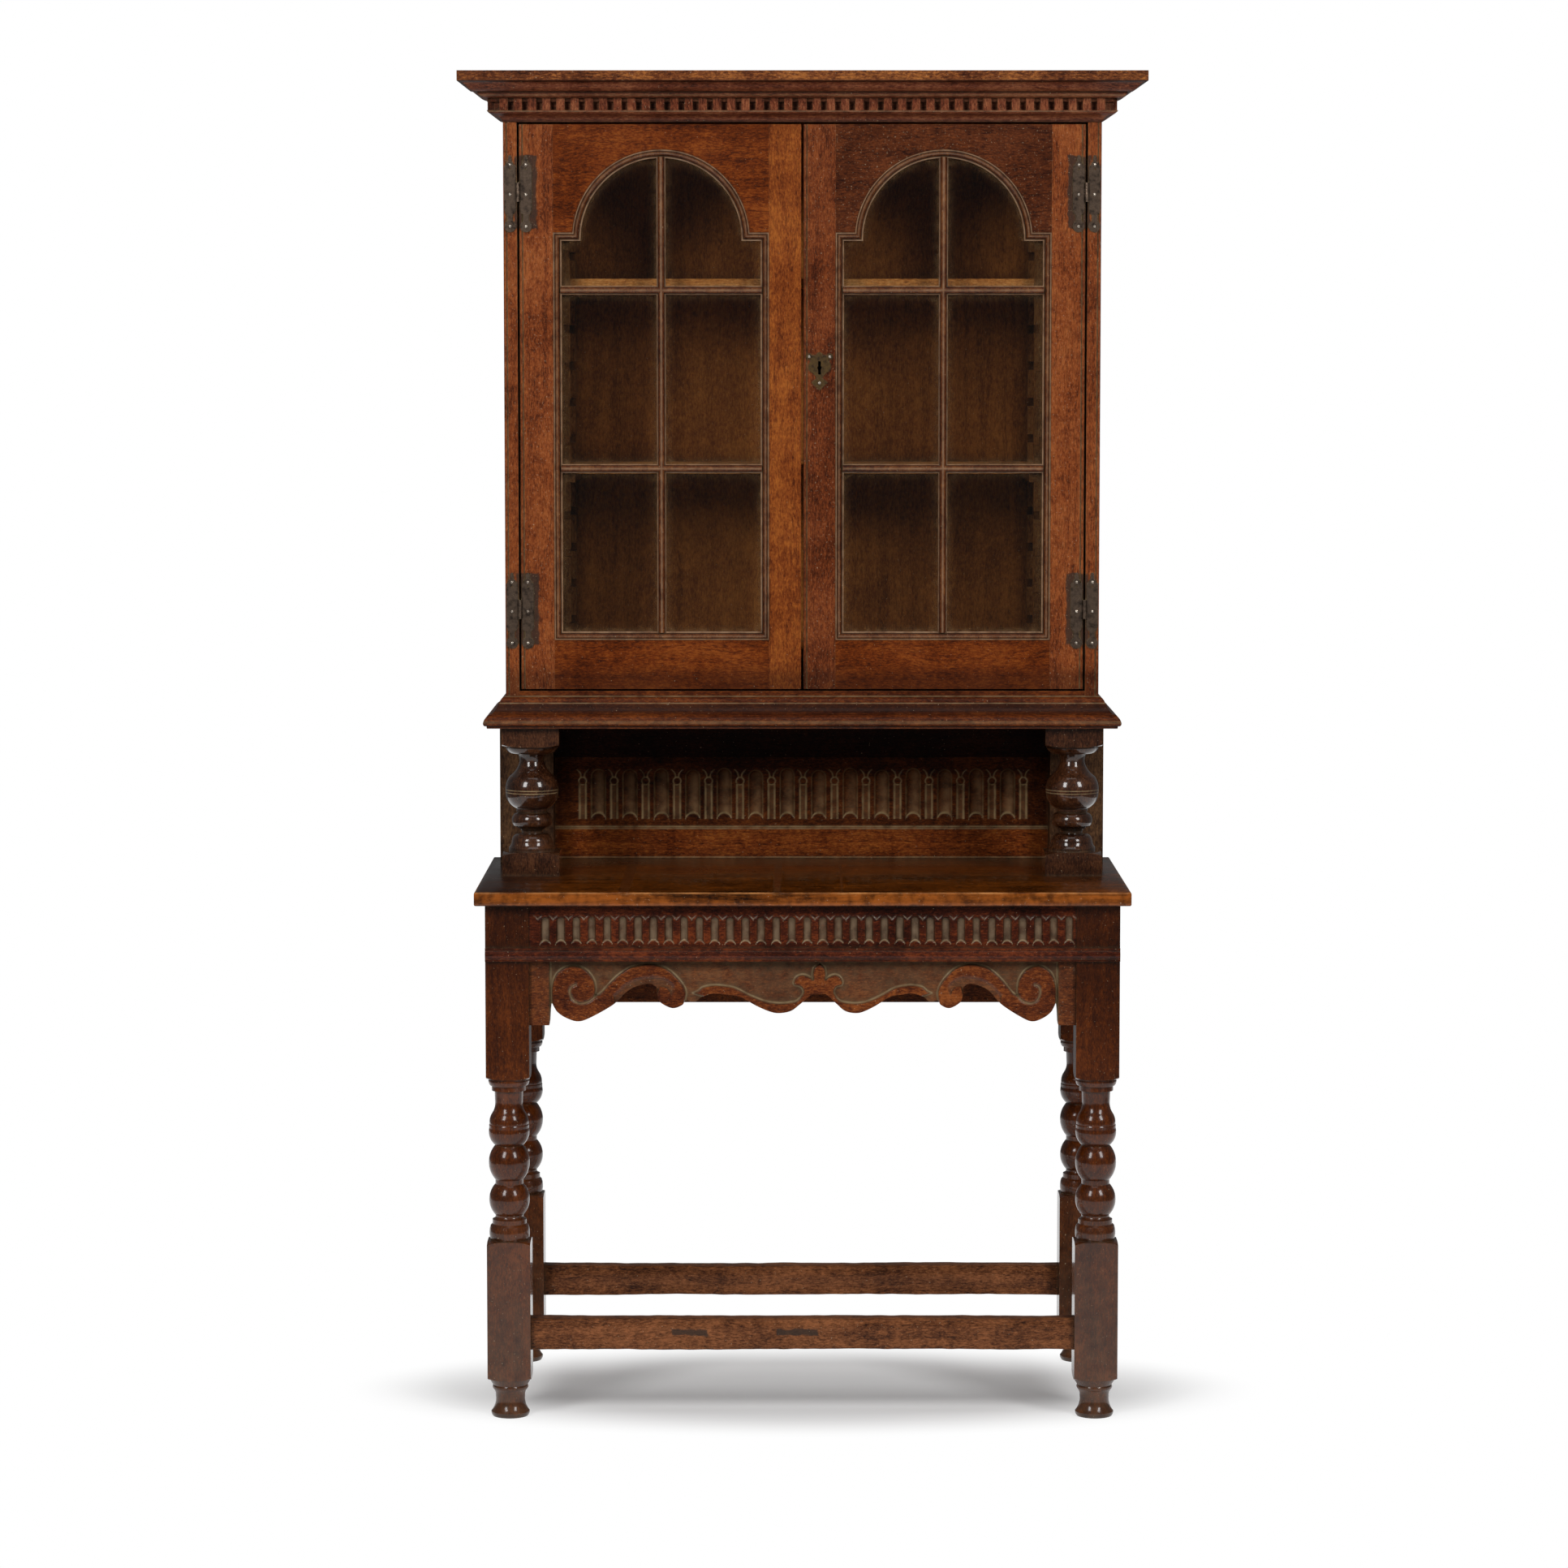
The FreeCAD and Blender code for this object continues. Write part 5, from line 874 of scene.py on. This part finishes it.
# dim studio in front of the piece, white paper behind it
room = {"front": 0.08, "back": 0.1, "mirrored": 0.12, "turn": 0.35, "white": "#ffffff"}
world = bpy.data.worlds.new("studio")
scene.world = world
world.use_nodes = True
tree = world.node_tree
tree.nodes.clear()
ray = addNode(tree, "ShaderNodeLightPath")
mirrored = addNode(tree, "ShaderNodeMath", {"operation": "MAXIMUM"}, i0=ray["Is Glossy Ray"],
                   i1=ray["Is Transmission Ray"])
direction = addNode(tree, "ShaderNodeTexCoord")["Generated"]
backwards = addNode(tree, "ShaderNodeSeparateXYZ", Vector=direction)["Y"]
bright = addNode(tree, "ShaderNodeMapRange", Value=mirrored, i3=room["back"], i4=room["mirrored"])[0]
dim = addNode(tree, "ShaderNodeMapRange", Value=backwards, i1=-room["turn"], i2=room["turn"],
              i3=room["front"], i4=bright)[0]
strength = addNode(tree, "ShaderNodeMath", {"operation": "MAXIMUM"}, i0=ray["Is Camera Ray"], i1=dim)
sky = addNode(tree, "ShaderNodeBackground", Color=toLinear(room["white"]), Strength=strength)
addNode(tree, "ShaderNodeOutputWorld", Surface=sky)

# white floor: keeps the shadow under the table and runs out into plain white; small, so that polish and
# glass do not mirror a whole room of white
floorLook = {"half": 2.3, "middle": (0, -0.01, 0), "spread": (0.62, 0.29, 1), "fade": (0.5, 1), "lift": 0.1,
             "tone": "#fafafa"}
bm = bmesh.new()
bmesh.ops.create_grid(bm, x_segments=1, y_segments=1, size=floorLook["half"])
floorMesh = bpy.data.meshes.new("floor")
bm.to_mesh(floorMesh)
bm.free()
floor = bpy.data.objects.new("floor", floorMesh)
scene.collection.objects.link(floor)
material, tree = newMaterial("whitePaper")
place = addNode(tree, "ShaderNodeTexCoord")["Object"]
shares = addNode(tree, "ShaderNodeMapping", {"vector_type": "TEXTURE"}, Vector=place,
                 Location=floorLook["middle"], Scale=floorLook["spread"])
away = addNode(tree, "ShaderNodeVectorMath", {"operation": "LENGTH"}, i0=shares)["Value"]
span = (*floorLook["fade"], floorLook["lift"], 1)
fade = addNode(tree, "ShaderNodeMapRange", {"interpolation_type": "SMOOTHSTEP", "span": span}, Value=away)[0]
ray = addNode(tree, "ShaderNodeLightPath")
seen = addNode(tree, "ShaderNodeMath", {"operation": "MAXIMUM"}, i0=ray["Is Glossy Ray"],
               i1=ray["Is Transmission Ray"])
seen = addNode(tree, "ShaderNodeMath", {"operation": "MAXIMUM"}, i0=seen, i1=ray["Is Camera Ray"])
fade = addNode(tree, "ShaderNodeMath", {"operation": "MULTIPLY"}, i0=fade, i1=seen)
paper = addNode(tree, "ShaderNodeBsdfDiffuse", Color=toLinear(floorLook["tone"]))
glow = addNode(tree, "ShaderNodeEmission", Color=toLinear(room["white"]))
surface = addNode(tree, "ShaderNodeMixShader", i0=fade, i1=paper, i2=glow)
addNode(tree, "ShaderNodeOutputMaterial", Surface=surface)
floorMesh.materials.append(material)
print("stage set")
